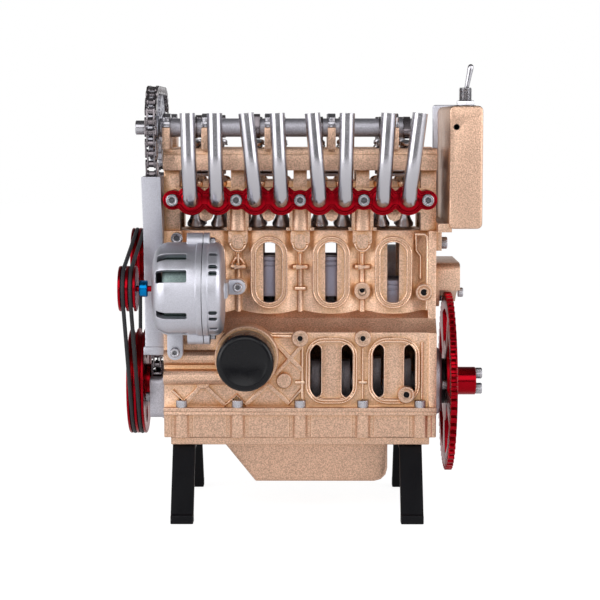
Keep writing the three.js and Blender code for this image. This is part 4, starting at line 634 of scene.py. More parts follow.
class ENGINE_OT_beads(bpy.types.Operator):
    """Runs raised beads round the windows of the block and turns its bosses, oil ways and pillars."""

    bl_idname = "engine.beads"
    bl_label = "Beads and bosses"

    def execute(self, context):
        radius = context.scene.engine_sizes.bead / MM
        finished(self.beads(radius), "window_beads", "milled_champagne", angle=60)
        self.bosses()
        columns = []
        for x in PAN_SCREWS:
            for side in (-1, 1):
                outline = [(x + u, side * (PAN_WALL + v)) for u, v in PAN_COLUMN]
                columns.append(plate("z", outline, *COLUMN_LEVELS))
        finished(columns, "pan_columns", "milled_champagne", angle=50)
        pillars = []
        feet = []
        for x in VALLEYS:
            for y in (-18.3, 18.3):
                pillars.append(turned("z", (x, y), [(4.1, DECK + 0.1), (4.1, 138.4), (3.7, 138.8)], 32))
                for step in TWINS:
                    outline = oblong(x + step, 0.9, (y - 3.1, y + 2), 0.3, 2)
                    feet.append(plate("z", outline, DECK + 0.05, DECK + 1.5))
        finished(feet, "pillar_feet", "milled_champagne")
        finished(pillars, "head_pillars", "sand_cast_champagne")
        return {"FINISHED"}

    def beads(self, radius):
        """The beads of the windows and slots, the tongues between the barrels, and the cast lines."""
        beads = []
        for x in CYLINDERS:
            for inset in (0.35, 2.2):
                low, high = BARREL_WINDOW
                outline = oblong(x, 8.35 - inset, (low + inset, high - inset), 8.34 - inset, 12)
                beads.append(bead(BARREL_FACE, outline, radius, closed=True))
        for x in CYLINDERS[2:]:
            for inset in (0.0, 1.1):
                low, high = CRANKCASE_WINDOW
                outline = oblong(x, 11.2 - inset, (low + inset, high - inset), 8 - inset)
                beads.append(bead(CRANKCASE_FACE, outline, radius, closed=True))
        for x in SLOT_STATIONS:
            outline = oblong(x, 2.7, SLOT_LEVELS, 2.69)
            beads.append(bead(CRANKCASE_FACE + 0.1, outline, radius * 0.6, closed=True))
        for x in VALLEYS:
            loop = oblong(x, 3.4, (119.6, 132), 3.39)
            kept = [point for point in loop if point[1] < DECK - 0.6]
            start = kept.index(max(kept, key=lambda point: point[1]))
            beads.append(bead(-20, kept[start:] + kept[:start], radius))
            beads.append(tube([at(x, -17.6, 118.4), at(x, -17.0, 113.2)], 0.7))
            beads.append(bead(-16.6, ((x - 3.3, 112.3), (x + 3.3, 112.3)), 1.25, 16))
        beads.append(bead(-16.4, ((-2.4, 102.5), (2.4, 102.5)), 1.1, 16))
        arch = ((-31, -16.6, 113.5), (-29.4, -17, 115.8), (-28.1, -17.2, 116.9), (-26.8, -17, 115.8))
        beads.append(tube([at(*point) for point in (*arch, (-25.2, -16.6, 113.5))], 0.6))
        beads += [bead(-28.1, line, 0.85) for line in CRANKCASE_RIBS]
        beads += [bead(y, line, width) for y, width, line in BLOCK_LINES]
        return beads

    def bosses(self):
        """The bored bosses with black cones of painted shade deep in their holes, the tongues' pads, the flat
        bosses, the oil ways and the filter's collar.
        """
        bosses = [plate("y", oblong(x, 2.4, (120.8, 127.2), 1.9, 6), -19, -20.5) for x in VALLEYS]
        bore_shade_cones = []
        for x, z, wall in BORED_BOSSES:
            bosses.append(turned("y", (x, z), moved(BOSS_RING, wall), 40))
            # Painted shade: a black cone at the bottom of each bore, where the deep hole is only in shadow
            bore_shade_cones.append(turned("y", (x, z), moved(BORE_SHADE_CONE, wall), 24))
        for spot in ((-43.5, 61.8), (-7.2, 62.1)):
            bosses.append(turned("y", spot, [(3.4, -28), (3.4, -29.4), (3.1, -29.8), (0.6, -29.8)], 40))
        for spot, radius in (((-27.6, 72.3), 3.3), ((-27.2, 63.8), 3.6)):
            bosses.append(turned("x", spot, [(radius, -60.8), (radius, -29.9)], 40))
        bosses.append(turned("y", FILTER, [(14.2, -27), (14.2, -37.6), (13.8, -38.1), (9, -38.1)], 96))
        finished(bosses, "block_bosses", "sand_cast_champagne")
        finished(bore_shade_cones, "boss_bores", "powder_coated_black")


class ENGINE_OT_oil_filter(bpy.types.Operator):
    """Turns the oil filter: a drawn can with a rolled front edge."""

    bl_idname = "engine.oil_filter"
    bl_label = "Oil filter"

    def execute(self, context):
        profile = [(11.2, -38.1), (12.5, -39.4), (12.5, -55.1), (12.35, -56.0), (11.9, -56.7)]
        profile += [(11.25, -57.15), (10.2, -57.3), (9.4, -57.18), (9.0, -56.95), (0.6, -56.95)]
        piece = turned("y", FILTER, profile, 96)
        finished(piece, "oil_filter_can", "black_lacquer", "engine", ["oil_filter"])
        return {"FINISHED"}


# Exhaust


def flange_half_height(x, inset):
    """Half the flange's height at a station: rings for the ports and screws run smoothly into a bar."""
    power = 9
    total = max(0.0, 3.6 - inset) ** power if abs(x) < 56 else 0.0
    for centre, radius in [(p, 6.7) for p in PORTS] + [(s, 4.3) for s in FLANGE_SCREWS]:
        reach = (radius - inset) ** 2 - (x - centre) ** 2
        if reach > 0:
            total += reach ** (power / 2)
    return total ** (1 / power)


def flange_outline(inset, steps=300):
    """The flange's outline in x and z, drawn in by an inset."""
    end = FLANGE_END - inset
    stations = [-end * math.cos(math.pi * step / steps) for step in range(steps + 1)]
    lower = [(x, PORT_LEVEL - flange_half_height(x, inset)) for x in stations]
    return lower + [(x, PORT_LEVEL + flange_half_height(x, inset)) for x in stations[-2:0:-1]]


class ENGINE_OT_flange(bpy.types.Operator):
    """Cuts the exhaust flange and raises its double rim."""

    bl_idname = "engine.flange"
    bl_label = "Exhaust flange"

    def execute(self, context):
        parts = [rounded_edges(plate("y", flange_outline(0), -34.05, FLANGE_FACE), 0.2, 50)]
        parts += [bead(FLANGE_FACE + 0.05, flange_outline(inset), 0.42, 10, True) for inset in (0.45, 1.35)]
        finished(parts, "exhaust_flange_plate", "dyed_red_aluminium", "engine", ["exhaust_flange"], 30)
        seat = [(3.25, -36.2), (4.6, -36.2), (4.6, -37.0), (4.3, -37.2), (3.25, -37.2), (3.25, -36.2)]
        seats = [turned("y", (x, PORT_LEVEL), seat, 40) for x in PORTS]
        finished(seats, "pipe_seats", "dyed_red_aluminium")
        return {"FINISHED"}


class ENGINE_OT_pipes(bpy.types.Operator):
    """Bends the eight exhaust pipes, whose tops are closed by flat discs."""

    bl_idname = "engine.pipes"
    bl_label = "Exhaust pipes"

    def execute(self, context):
        radius = context.scene.engine_sizes.pipe / MM / 2
        for number, (x, lean) in enumerate(zip(PORTS, PIPE_LEANS), 1):
            run = [at(x, -37, PORT_LEVEL)]
            y, level = -39, 0
            for bend, start, end, eighths in PIPE_BENDS:
                first = math.radians(start)
                for eighth in eighths:
                    angle = first + math.radians(end - start) * eighth / 8
                    reach = y - bend * (math.sin(angle) - math.sin(first))
                    rise = level + bend * (math.cos(first) - math.cos(angle))
                    aside = lean * max(0, rise - LEAN_START) / (PIPE_RISE - LEAN_START)
                    run.append(at(x + aside, reach, PORT_LEVEL + rise))
                y, level = reach, rise
            run.append(at(x + lean, y, PORT_LEVEL + PIPE_RISE))
            name = "exhaust_pipe_" + str(number)
            finished(tube(run, radius, 40), name + "_tube", "buffed_steel", "engine", [name], 40)
        return {"FINISHED"}


# Alternator

# Vents as shares of a turn from the top, over the back; with their reach along the crank and width
FRONT_VENTS = (
    (0.883, (-61.0, -48.3), 3.6),
    (0.807, (-61.4, -48.1), 5.4),
    (0.665, (-61.4, -48.2), 3.4),
    (0.55, (-61.4, -48.2), 5.2),
    (0.05, (-61.4, -48.2), 5.2),
    (0.17, (-61.4, -48.2), 5.2),
)
REAR_VENTS = tuple(
    (share, (-38.9, -35.3), 1.9) for share in (0.895, 0.842, 0.817, 0.678, 0.652, 0.6, 0.05, 0.1, 0.55)
)
# From where to where a vent's cutter reaches out of the alternator's axis
VENT_REACH = (12, 24)


def vent_tool(share, span, width):
    """A slot cutter that points out of the alternator at a share of a turn."""
    piece = begin(bpy.ops.mesh.primitive_cube_add, size=MM)
    bpy.ops.transform.resize(value=(span[1] - span[0], width, VENT_REACH[1] - VENT_REACH[0]))
    bpy.ops.mesh.bevel(offset=0.7 * MM, segments=3)
    select_only(piece)
    out = Matrix.Translation((0, 0, sum(VENT_REACH) / 2 * MM))
    there = Matrix.Translation(at(sum(span) / 2, *ALTERNATOR))
    piece.data.transform(there @ Matrix.Rotation(-2 * math.pi * share, 4, "X") @ out)
    return piece


def housing(shell, vents, width, lug):
    """An alternator casting: a turned shell with its vents cut, and its upper and lower lug."""
    shell = cut(turned("x", ALTERNATOR, shell, 96), [vent_tool(*vent) for vent in vents])
    spots = [(ALTERNATOR[0], ALTERNATOR[1] + side * LUG_REACH) for side in (-1, 1)]
    return [rounded_edges(shell, width)] + [turned("x", spot, lug, 32) for spot in spots]


class ENGINE_OT_alternator(bpy.types.Operator):
    """Turns the two alternator castings, cuts their vents and winds the coil inside."""

    bl_idname = "engine.alternator"
    bl_label = "Alternator"

    def execute(self, context):
        shell = [(2.0, -63.65), (9.5, -63.65), (13.6, -63.4), (16.4, -62.6), (18.4, -61.2), (19.6, -59.4)]
        shell += [(20.2, -57.2), (20.2, -44.6), (20.7, -44.2), (20.7, -41.95), (17.8, -41.95), (17.8, -57.0)]
        shell += [(16.8, -59.2), (14.2, -61.2), (2.0, -61.2), (2.0, -63.65)]
        lug = [(4.0, -48.9), (4.3, -48.6), (4.3, -41.95), (2, -41.95)]
        parts = housing(shell, FRONT_VENTS, 0.3, lug)
        ear = rounded_outline((-58.9, -51.9), (72.1, 92), 3.4)
        parts.append(rounded_edges(plate("y", ear, -31.45, -35.4), 0.3))
        name = "alternator_front_"
        finished(parts, name + "casting", "bead_blasted_silver", "engine", [name + "housing"])

        shell = [(17.8, -41.65), (20.7, -41.65), (20.7, -39.5), (20.2, -39.2), (20.2, -36.0), (19.5, -34.4)]
        shell += [(18.0, -33.3), (15.5, -33.0), (2.7, -33.0), (2.7, -34.6), (17.8, -34.6), (17.8, -41.65)]
        lug = [(4.3, -41.65), (4.3, -39.3), (4.0, -39.0), (2, -39.0)]
        parts = housing(shell, REAR_VENTS, 0.25, lug)
        arm = rounded_outline((-34.0, -24.4), (100.4, 107.2), 3.38)
        web = rounded_outline((-34.0, -31.7), (100.4, 107.2), 0.6, 3)
        parts.append(rounded_edges(plate("y", arm, -25.9, -20.5), 0.3))
        parts.append(plate("y", web, -44, -25.5))
        name = "alternator_rear_"
        finished(parts, name + "casting", "bead_blasted_silver", "engine", [name + "housing"])

        coil = [(9, -59.4), (15.4, -58.8), (16.6, -57), (16.6, -43), (9, -43), (9, -59.4)]
        core = [(3, -41.5), (17, -41.5), (17, -35), (3, -35), (3, -41.5)]
        parts = [turned("x", ALTERNATOR, coil), turned("x", ALTERNATOR, core, 40)]
        finished(parts, "alternator_winding", "enamelled_wire")
        return {"FINISHED"}


# Belts, pulleys and chain


def pulley(across, radius, bore, sides=96):
    """A turned pulley with a round bottomed groove for each belt."""
    first = BELT_PLANES[0] - 2.2
    last = BELT_PLANES[1] + 2.2
    profile = [(bore, first), (radius - 0.35, first), (radius, first + 0.3)]
    for plane in BELT_PLANES:
        for angle in range(0, 181, 30):
            a = math.radians(angle)
            profile.append((radius - 1.9 * math.sin(a), plane - 1.15 * math.cos(a)))
    profile += [(radius, last - 0.3), (radius - 0.35, last), (bore, last), (bore, first)]
    return turned("x", across, profile, sides)


def round_holes(across, circle, radius, count, x):
    """Cutters for a ring of holes along the crank's direction."""
    tools = []
    for hole in range(count):
        angle = 2 * math.pi * (hole + 0.5) / count
        spot = (across[0] + circle * math.cos(angle), across[1] + circle * math.sin(angle))
        tools.append(turned("x", spot, [(radius, x[0]), (radius, x[1])], 24))
    return tools


class ENGINE_OT_pulleys(bpy.types.Operator):
    """Turns the three red pulleys with their hubs, shafts and lightening holes."""

    bl_idname = "engine.pulleys"
    bl_label = "Pulleys"

    def execute(self, context):
        red, through = "dyed_red_aluminium", (-80, -70)
        axis = (0, CRANK)
        rim = cut(pulley(axis, 24.2, 4.3), round_holes(axis, 15.6, 4.0, 5, through))
        hub = [(4.3, -71.4), (8, -71.4), (8, -69.1), (7.6, -68.7), (4.3, -68.7), (4.3, -71.4)]
        finished([rim, turned("x", axis, hub)], "crank_pulley_wheel", red, "crank", ["crank_pulley"])
        bolt = [(3.9, -77.9), (3.9, -78.3), (3.6, -78.5), (1.8, -78.5), (1.6, -77.4), (0.5, -77.4)]
        finished(turned("x", axis, bolt, 6), "crank_pulley_bolt", "buffed_steel", "crank")

        rotor = "alternator_rotor"
        parts = [pulley(ALTERNATOR, 9.9, 1.0, 72), turned("x", ALTERNATOR, [(1.3, -78.4), (1.3, -58.9)], 24)]
        finished(parts, "alternator_pulley_wheel", red, rotor, ["alternator_pulley"])
        collar = [(1.6, -69.8), (3.3, -69.8), (3.6, -69.5), (3.6, -66.5), (3.3, -66.2), (1.6, -66.2)]
        piece = turned("x", ALTERNATOR, collar + collar[:1], 48)
        finished(piece, "alternator_collar", "dyed_blue_aluminium", rotor, ["alternator_coupling"])

        rim = cut(pulley(PUMP, 14, 1.7, 80), round_holes(PUMP, 7.4, 2.2, 5, through))
        shaft = turned("x", PUMP, [(2, -78.4), (2, -56.5)], 24)
        finished([rim, shaft], "pump_pulley_wheel", red, "water_pump", ["water_pump_pulley"])
        return {"FINISHED"}


class ENGINE_OT_belts(bpy.types.Operator):
    """Runs two round rubber belts over the pulleys."""

    bl_idname = "engine.belts"
    bl_label = "Drive belts"

    def execute(self, context):
        radius = context.scene.engine_sizes.belt / MM / 2
        circles = [(0, CRANK, 23.5), (*ALTERNATOR, 9.2), (*PUMP, 13.3)]
        for plane, name in zip(BELT_PLANES, ("drive_belt_outer", "drive_belt_inner")):
            line = [place("x", point, plane) for point in loop_round(circles)]
            finished(tube(line, radius, 14, True), name + "_round", "belt_rubber", "engine", [name], 60)
        return {"FINISHED"}


def chain_plate(pitch, half_height):
    """The waisted outline of a chain plate, along y from its first pin."""
    end = arc((pitch, 0), half_height, -70, 70, 6)
    start = arc((0, 0), half_height, 110, 250, 6)
    waist = half_height * 0.72
    return end + [(pitch / 2, waist)] + start + [(pitch / 2, -waist)]


def toothed(across, radius, teeth, seated, tip=1.0):
    """A sprocket disc whose valleys fit the chain's rollers, with one valley under the seated roller."""
    phase = math.atan2(seated[1] - across[1], seated[0] - across[0])
    outline = []
    for tooth in range(teeth):
        angle = phase + 2 * math.pi * tooth / teeth
        centre = (across[0] + radius * math.cos(angle), across[1] + radius * math.sin(angle))
        facing = math.degrees(angle)
        outline += arc(centre, 1.65, facing - 110, facing - 250, 6)
        for share in (0.42, 0.58):
            turn = angle + 2 * math.pi * share / teeth
            reach = radius + tip
            outline.append((across[0] + reach * math.cos(turn), across[1] + reach * math.sin(turn)))
    return plate("x", outline, CHAIN_PLANE - 0.95, CHAIN_PLANE + 0.95)


class ENGINE_OT_chain(bpy.types.Operator):
    """Links the roller chain and cuts the sprockets that it runs on."""

    bl_idname = "engine.chain"
    bl_label = "Timing chain"

    def execute(self, context):
        circles = [(0, CRANK, CRANK_SPROCKET[0])] + [(side, CAM_LEVEL, CAM_SPROCKET[0]) for side in CAM_SIDES]
        points = spaced(loop_round(circles, 720), LINKS)
        roller_radius = context.scene.engine_sizes.chain_roller / MM / 2
        self.links(points, roller_radius)
        for side, cam in zip(CAM_SIDES, ("exhaust", "intake")):
            axis = (side, CAM_LEVEL)
            seated = min(points, key=lambda p: math.dist(p, (side * 1.3, CAM_LEVEL + 15.5)))
            holes = round_holes(axis, 10, 2.6, 6, (-70, -60))
            disc = cut(toothed(axis, *CAM_SPROCKET, seated), holes)
            hub = turned("x", axis, moved([(5.2, -2.2), (5.4, -2), (5.4, 2.4), (2, 2.4)], CHAIN_PLANE), 48)
            name = cam + "_sprocket_wheel"
            finished([disc, hub], name, "bead_blasted_silver", cam + "_cam", [cam + "_cam_sprocket"])
        axis = (0, CRANK)
        disc = toothed(axis, *CRANK_SPROCKET, min(points, key=lambda p: p[1]), 0.9)
        hub = [(4.3, -68.0), (5.3, -68.0), (5.3, -62.8), (4.3, -62.8), (4.3, -68.0)]
        parts = [disc, turned("x", axis, hub, 48)]
        finished(parts, "crank_sprocket_wheel", "dark_oiled_steel", "crank", ["crank_sprocket"])
        return {"FINISHED"}

    def links(self, points, roller_radius):
        """One roller, pin and pair of plates for each point, with inner and outer plates in turn."""
        pitch = math.dist(points[0], points[1])
        roller = turned("x", (0, 0), moved([(roller_radius, -1.1), (roller_radius, 1.1)], CHAIN_PLANE), 12)
        pin = moved([(0.75, -2.7), (0.95, -2.5), (0.95, 2.5), (0.75, 2.7)], CHAIN_PLANE)
        pins = joined([roller, turned("x", (0, 0), pin, 8)])
        sets = []
        for offset in (1.2, 1.95):
            plates = []
            for side in (-1, 1):
                near = CHAIN_PLANE + side * offset
                plates.append(plate("x", chain_plate(pitch, 1.95), near, near + side * 0.6))
            sets.append(joined(plates))
        for source in [pins] + sets:
            source.data.transform(Matrix.Translation(-at(CHAIN_PLANE, 0, 0)))
        links = []
        for number, (point, following) in enumerate(zip(points, points[1:] + points[:1])):
            turn = math.atan2(following[1] - point[1], following[0] - point[0])
            there = Matrix.Translation(at(CHAIN_PLANE, *point)) @ Matrix.Rotation(turn, 4, "X")
            links += [copied(pins, there), copied(sets[number % 2], there)]
        removed(pins, *sets)
        finished(links, "roller_chain", "dark_oiled_steel", "engine", ["timing_chain"], 30)


# Valve gear

LOBE_TURNS = {
    "exhaust": (0.06, 0.31, -0.19, 0.56),
    "intake": (0.34, 0.59, 0.09, -0.16),
}


def lobe_outline(centre, turn):
    """An egg shaped cam: a base circle and a nose."""
    base, nose, lift = 4.9, 2.2, 1.5
    reach = base + lift - nose
    spread = math.degrees(math.acos((base - nose) / reach))
    facing = 360 * turn
    angle = math.radians(facing)
    tip = (centre[0] + reach * math.cos(angle), centre[1] + reach * math.sin(angle))
    rounding = arc(tip, nose, facing - spread, facing + spread, 12)
    return rounding + arc(centre, base, facing + spread, facing - spread + 360, 28)


class ENGINE_OT_camshafts(bpy.types.Operator):
    """Grinds the camshafts' lobes and fits their polished bearing caps on cast towers."""

    bl_idname = "engine.camshafts"
    bl_label = "Camshafts"

    def execute(self, context):
        shaft = [(3.8, -62.6), (4.1, -62.3), (4.1, 50.2), (3.8, 50.5), (1.2, 50.5)]
        bolt = [(0.8, -72.2), (1.5, -72.4), (1.6, -73.4), (2.9, -73.4), (3.2, -73.1), (3.2, -68.9)]
        for side, cam in zip(CAM_SIDES, ("exhaust", "intake")):
            axis = (side, CAM_LEVEL)
            body = cam + "_cam"
            piece = turned("x", axis, shaft, 48)
            finished(piece, cam + "_camshaft_tube", "grey_casting", body, [cam + "_camshaft"])
            lobes = []
            for station, turn in zip(CYLINDERS, LOBE_TURNS[cam]):
                for twin in TWINS:
                    middle = station + twin
                    lobe = plate("x", lobe_outline(axis, turn), middle - 1.6, middle + 1.6)
                    lobes.append(rounded_edges(lobe, 0.25))
            finished(lobes, cam + "_lobes", "dark_oiled_steel", body)
            parts = [turned("x", axis, bolt, 24), turned("x", axis, [(4.4, -69.0), (4.4, -67.5)], 40)]
            finished(parts, cam + "_cam_bolt", "buffed_steel", body)
        towers = []
        caps = []
        for station in CAM_BEARINGS:
            for y in CAM_SIDES:
                left, right = y - BEARING_HALF, y + BEARING_HALF
                notch = arc((y, CAM_LEVEL), 4.4, 0, -180, 12)
                crown = arc((y, CAM_LEVEL), 6.3, 24, 156, 14)
                tower = [(left, 165.2), (right, 165.2), (right, CAM_LEVEL)] + notch + [(left, CAM_LEVEL)]
                cap = [(right, CAM_LEVEL + 0.1), (right, 177.3)] + crown
                cap += [(left, 177.3), (left, CAM_LEVEL + 0.1)] + arc((y, CAM_LEVEL), 4.4, 180, 0, 12)
                for outline, pieces in ((tower, towers), (cap, caps)):
                    piece = plate("x", outline, station - 1.75, station + 1.75)
                    pieces.append(rounded_edges(piece, 0.25, 60))
        finished(towers, "cam_towers", "sand_cast_champagne")
        finished(caps, "cam_caps", "buffed_steel")
        return {"FINISHED"}


class ENGINE_OT_valves(bpy.types.Operator):
    """Turns the valves and their guides in the head, and winds their springs."""

    bl_idname = "engine.valves"
    bl_label = "Valves"

    def execute(self, context):
        tilt = math.atan2(14.8, 44.0)
        wire = context.scene.engine_sizes.spring_wire / MM / 2
        profile = [(0.6, 0.5), (3.4, 0.5), (3.7, 0), (4.2, 0), (4.2, 0.8), (3.9, 1.3), (3.2, 2.6), (2.7, 4)]
        profile += [(2.4, 5.6), (2.3, 8), (1.1, 8.3), (1.1, 38.4), (2.2, 38.4), (2.5, 38.7), (2.5, 39.7)]
        valve = turned("z", (0, 0), profile + [(2.2, 40), (0.6, 40)], 40)
        tie = rounded_edges(plate("z", rounded_outline((-7.4, 7.4), (-1.9, 1.9), 1.8, 5), 23.9, 25.4), 0.25)
        # Six coils of nine steps to the half turn, over 12.1 mm
        angles = [math.pi * step / 9 for step in range(109)]
        coil = [at(2.3 * math.cos(a), 2.3 * math.sin(a), 25.9 + 12.1 * a / (12 * math.pi)) for a in angles]
        spring = tube(coil, wire, 8)
        barrel = [(4.3, 14), (4.3, 21.2), (3.8, 22.0), (1.7, 22.0), (1.7, 14), (4.3, 14)]
        guide = turned("z", (0, 0), barrel, 40)
        from_origin(valve, tie, spring, guide)
        guides = []
        for cam, side in (("exhaust", -1), ("intake", 1)):
            lean = Matrix.Rotation(-side * tilt, 4, "X")
            for number, station in enumerate(CYLINDERS, 1):
                name = cam + "_valves_" + str(number)
                foot = (side * 5.2, GUIDE_FOOT)
                pair = [copied(tie, Matrix.Translation(at(station, *foot)) @ lean)]
                coils = []
                for twin in TWINS:
                    there = Matrix.Translation(at(station + twin, *foot)) @ lean
                    pair.append(copied(valve, there))
                    coils.append(copied(spring, there))
                    guides.append(copied(guide, there))
                finished(pair, name + "_turned", "ground_steel", name + "_body", [name])
                finished(coils, cam + "_springs_" + str(number), "buffed_steel", name + "_body")
        removed(valve, tie, spring, guide)
        finished(guides, "valve_guides", "milled_champagne")
        return {"FINISHED"}


class ENGINE_OT_pistons(bpy.types.Operator):
    """Turns the pistons with their ring grooves, and crowns that take the valves."""

    bl_idname = "engine.pistons"
    bl_label = "Pistons"

    def execute(self, context):
        profile = [(0.8, -0.8), (7.6, -0.8), (8.4, 0), (11.7, 0), (12.1, -0.4)]
        for groove in (-1.9, -4.1):
            profile += moved([(12.1, 0), (11.5, -0.1), (11.5, -0.7), (12.1, -0.8)], groove)
        profile += [(12.1, -18.2), (11.8, -18.5), (10.1, -18.5), (10.1, -3.4), (0.8, -3.4)]
        for number, (station, throw) in enumerate(zip(CYLINDERS, THROWS), 1):
            top = CRANK + throw + ROD + CROWN
            name = "piston_" + str(number)
            piece = turned("z", (station, 0), moved(profile, top), 96)
            finished(piece, name + "_turned", "graphite_piston", name + "_body", [name], 30)
        return {"FINISHED"}


# Flywheel


class ENGINE_OT_flywheel(bpy.types.Operator):
    """Cuts the toothed flywheel with its five windows, and turns its disc and hub."""

    bl_idname = "engine.flywheel"
    bl_label = "Flywheel"

    def execute(self, context):
        axis = (0, CRANK)
        teeth = 64
        root, tip = 38.8, 41.2
        outline = []
        for tooth in range(teeth):
            for share, radius in ((-0.32, root), (-0.17, tip), (0.17, tip), (0.32, root)):
                angle = 2 * math.pi * (tooth + share) / teeth
                outline.append((radius * math.cos(angle), CRANK + radius * math.sin(angle)))
        windows = []
        for spoke in range(5):
            middle = 360 * (spoke + 0.25) / 5
            start, end = middle - 24.48, middle + 24.48
            window = arc(axis, 33.5, start, end, 16) + arc(axis, 18.5, end, start, 12)
            windows.append(plate("x", window, 65, 71))
        ring = rounded_edges(cut(plate("x", outline, 66.7, 69.6), windows), 0.3, 60)
        hub = [(6.35, 69.5), (6.35, 66.75), (14.6, 66.75), (15, 67.1), (15, 70.9), (14.6, 71.35)]
        hub += [(6.45, 71.35), (6.45, 80.7), (6.15, 81), (0.8, 81)]
        lip = [(35.2, 69.4), (36.4, 69.4), (36.4, 69.9), (36.0, 70.1), (35.6, 70.1), (35.2, 69.9)]
        parts = [ring, turned("x", axis, hub, 72), turned("x", axis, lip + lip[:1], 128)]
        finished(parts, "flywheel_wheel", "dyed_red_aluminium", "crank", ["flywheel"], 30)
        seal = [(6.4, 64.9), (10.2, 64.9), (10.4, 65.1), (10.4, 66.5), (6.4, 66.5), (6.4, 64.9)]
        finished(turned("x", axis, seal), "crank_seal", "powder_coated_black")
        return {"FINISHED"}


# Switch


class ENGINE_OT_switch(bpy.types.Operator):
    """Turns the switch: nut, washer, threaded bushing and lever, and the charging socket."""

    bl_idname = "engine.switch"
    bl_label = "Switch"

    def execute(self, context):
        nut = [(4.0, 184.45), (4.3, 184.7), (4.3, 186.5), (4.0, 186.8), (2.9, 186.8)]
        washer = [(4.7, 184.42), (4.7, 184.75), (3, 184.75)]
        bushing = [(2.5, 184.5)]
        level = 186.6
        while level < 191.8:
            bushing += moved([(2.55, 0), (2.9, 0.2), (2.9, 0.3), (2.55, 0.5)], level)
            level += 0.55
        bushing += [(2.7, 192.2), (2.5, 192.5), (2.1, 192.5), (1.5, 188.4), (0.8, 188.4)]
        parts = [turned("z", SWITCH, *part) for part in ((nut, 6), (washer, 40), (bushing, 40))]
        finished(parts, "switch_threads", "buffed_steel", "engine", ["switch_bushing"], 25)

        profile = [(0.5, -0.8), (0.85, -0.4), (0.9, 0.2), (1.25, 9.6), (1.35, 11.2), (1.3, 12.2), (1.0, 12.9)]
        lever = from_origin(turned("z", (0, 0), profile + [(0.4, 13.3)], 32))
        # At rest the lever leans by three hundredths of a turn
        lever.data.transform(Matrix.Rotation(2 * math.pi * 0.03, 4, "Y"))
        lever.data.transform(Matrix.Translation(at(*SWITCH, PIVOT_LEVEL)))
        finished(lever, "switch_lever_turned", "buffed_steel", "lever", ["switch_lever"])

        socket = [(1.0, -34), (1.0, -36.02), (1.34, -36.02), (1.34, -34), (1.0, -34)]
        finished(turned("y", (68.5, 175.1), socket, 32), "charging_socket", "powder_coated_black")
        return {"FINISHED"}


# Screws


def screw(radius, height, socket):
    """A socket head screw with a knurled rim, which stands on the origin and points up z."""
    profile = [(radius - 0.15, 0), (radius, 0.15), (radius, height - 0.35), (radius - 0.35, height)]
    profile += [(socket + 0.35, height), (socket + 0.2, height - 0.1)]
    sides = 48
    head = turned("z", (0, 0), profile, sides)
    middle = at(0, 0, 0)
    for vertex in head.data.vertices:
        away = vertex.co - middle
        step = round(math.atan2(away.y, away.x) / (2 * math.pi) * sides)
        if step % 2 and math.hypot(away.x, away.y) > (radius - 0.2) * MM:
            vertex.co.x = middle.x + away.x * 0.95
            vertex.co.y = middle.y + away.y * 0.95
    hexagon = turned("z", (0, 0), [(socket, height - 1.3), (socket, height + 1)], 6)
    return from_origin(cut(head, [hexagon]))


class ENGINE_OT_screws(bpy.types.Operator):
    """Drives the socket screws of the engine and of the flywheel's hub."""

    bl_idname = "engine.screws"
    bl_label = "Screws"

    def execute(self, context):
        sizes = context.scene.engine_sizes
        large = screw(sizes.screw_head / MM / 2, sizes.screw_height / MM, 1.45)
        medium = screw(2.2, 2.4, 1.1)
        pan = screw(2.55, 3.45, 1.2)
        small = screw(1.6, 2.4, 0.85)
        hub = screw(2.55, 3.1, 1.3)
        forward = Matrix.Rotation(math.pi / 2, 4, "X")
        up = Matrix.Identity(4)
        right = Matrix.Rotation(math.pi / 2, 4, "Y")
        left = Matrix.Rotation(-math.pi / 2, 4, "Y")
        sides = (-1, 1)
        spots = [(large, forward, (x, FLANGE_FACE, PORT_LEVEL)) for x in FLANGE_SCREWS]
        spots += [(pan, up, (x, side * PAN_SCREW_SIDE, 50.0)) for x in PAN_SCREWS for side in sides]
        spots += [(medium, forward, (-27.9, -25.8, 103.8)), (medium, forward, (-55.4, -35.3, 75.7))]
        spots += [(large, forward, (-55.1, -22.1, 125.6)), (large, right, (64.3, -3, 122.2))]
        lugs = [(-39.0, ALTERNATOR[0], ALTERNATOR[1] + side * LUG_REACH) for side in sides]
        spots += [(medium, right, spot) for spot in lugs]
        spots += [(medium, right, (73.3, 26, 108.3)), (medium, right, (73.3, 8, 98.4))]
        spots += [(medium, right, (64.7, side * 12.6, CRANK)) for side in sides]
        spots += [(medium, left, (-68.1, side * 16, CRANK - 5.2)) for side in sides]
        caps = [(x, y + side * 6.0, 177.2) for x in CAM_BEARINGS for y in CAM_SIDES for side in sides]
        spots += [(small, up, spot) for spot in caps]
        pieces = [copied(source, Matrix.Translation(at(*spot)) @ way) for source, way, spot in spots]
        finished(pieces, "engine_screws", "buffed_steel", angle=30)
        spots = [at(81, 0, CRANK + side * 3.55) for side in sides]
        pieces = [copied(hub, Matrix.Translation(spot) @ right) for spot in spots]
        finished(pieces, "hub_screws", "buffed_steel", "crank", angle=30)
        removed(large, medium, pan, small, hub)
        return {"FINISHED"}


# Stage

# Each lamp's place in metres and its power, and the width of all of them
LAMPS = (((-0.95, -0.7, 0.5), 9.5), ((1.0, -0.6, 0.55), 8), ((0.0, -1.15, 0.75), 5.5))
LAMP_WIDTH = 0.9


def seen(owner):
    """Whether a ray comes from the camera, a mirror or a glass, and whether it comes from the camera."""
    path = add_node(owner, "LightPath", {}).outputs
    camera = path["Is Camera Ray"]
    mirror = add_node(owner, "Math", {0: camera, 1: path["Is Glossy Ray"]}, operation="MAXIMUM")
    glass = add_node(owner, "Math", {0: mirror, 1: path["Is Transmission Ray"]}, operation="MAXIMUM")
    return glass, camera


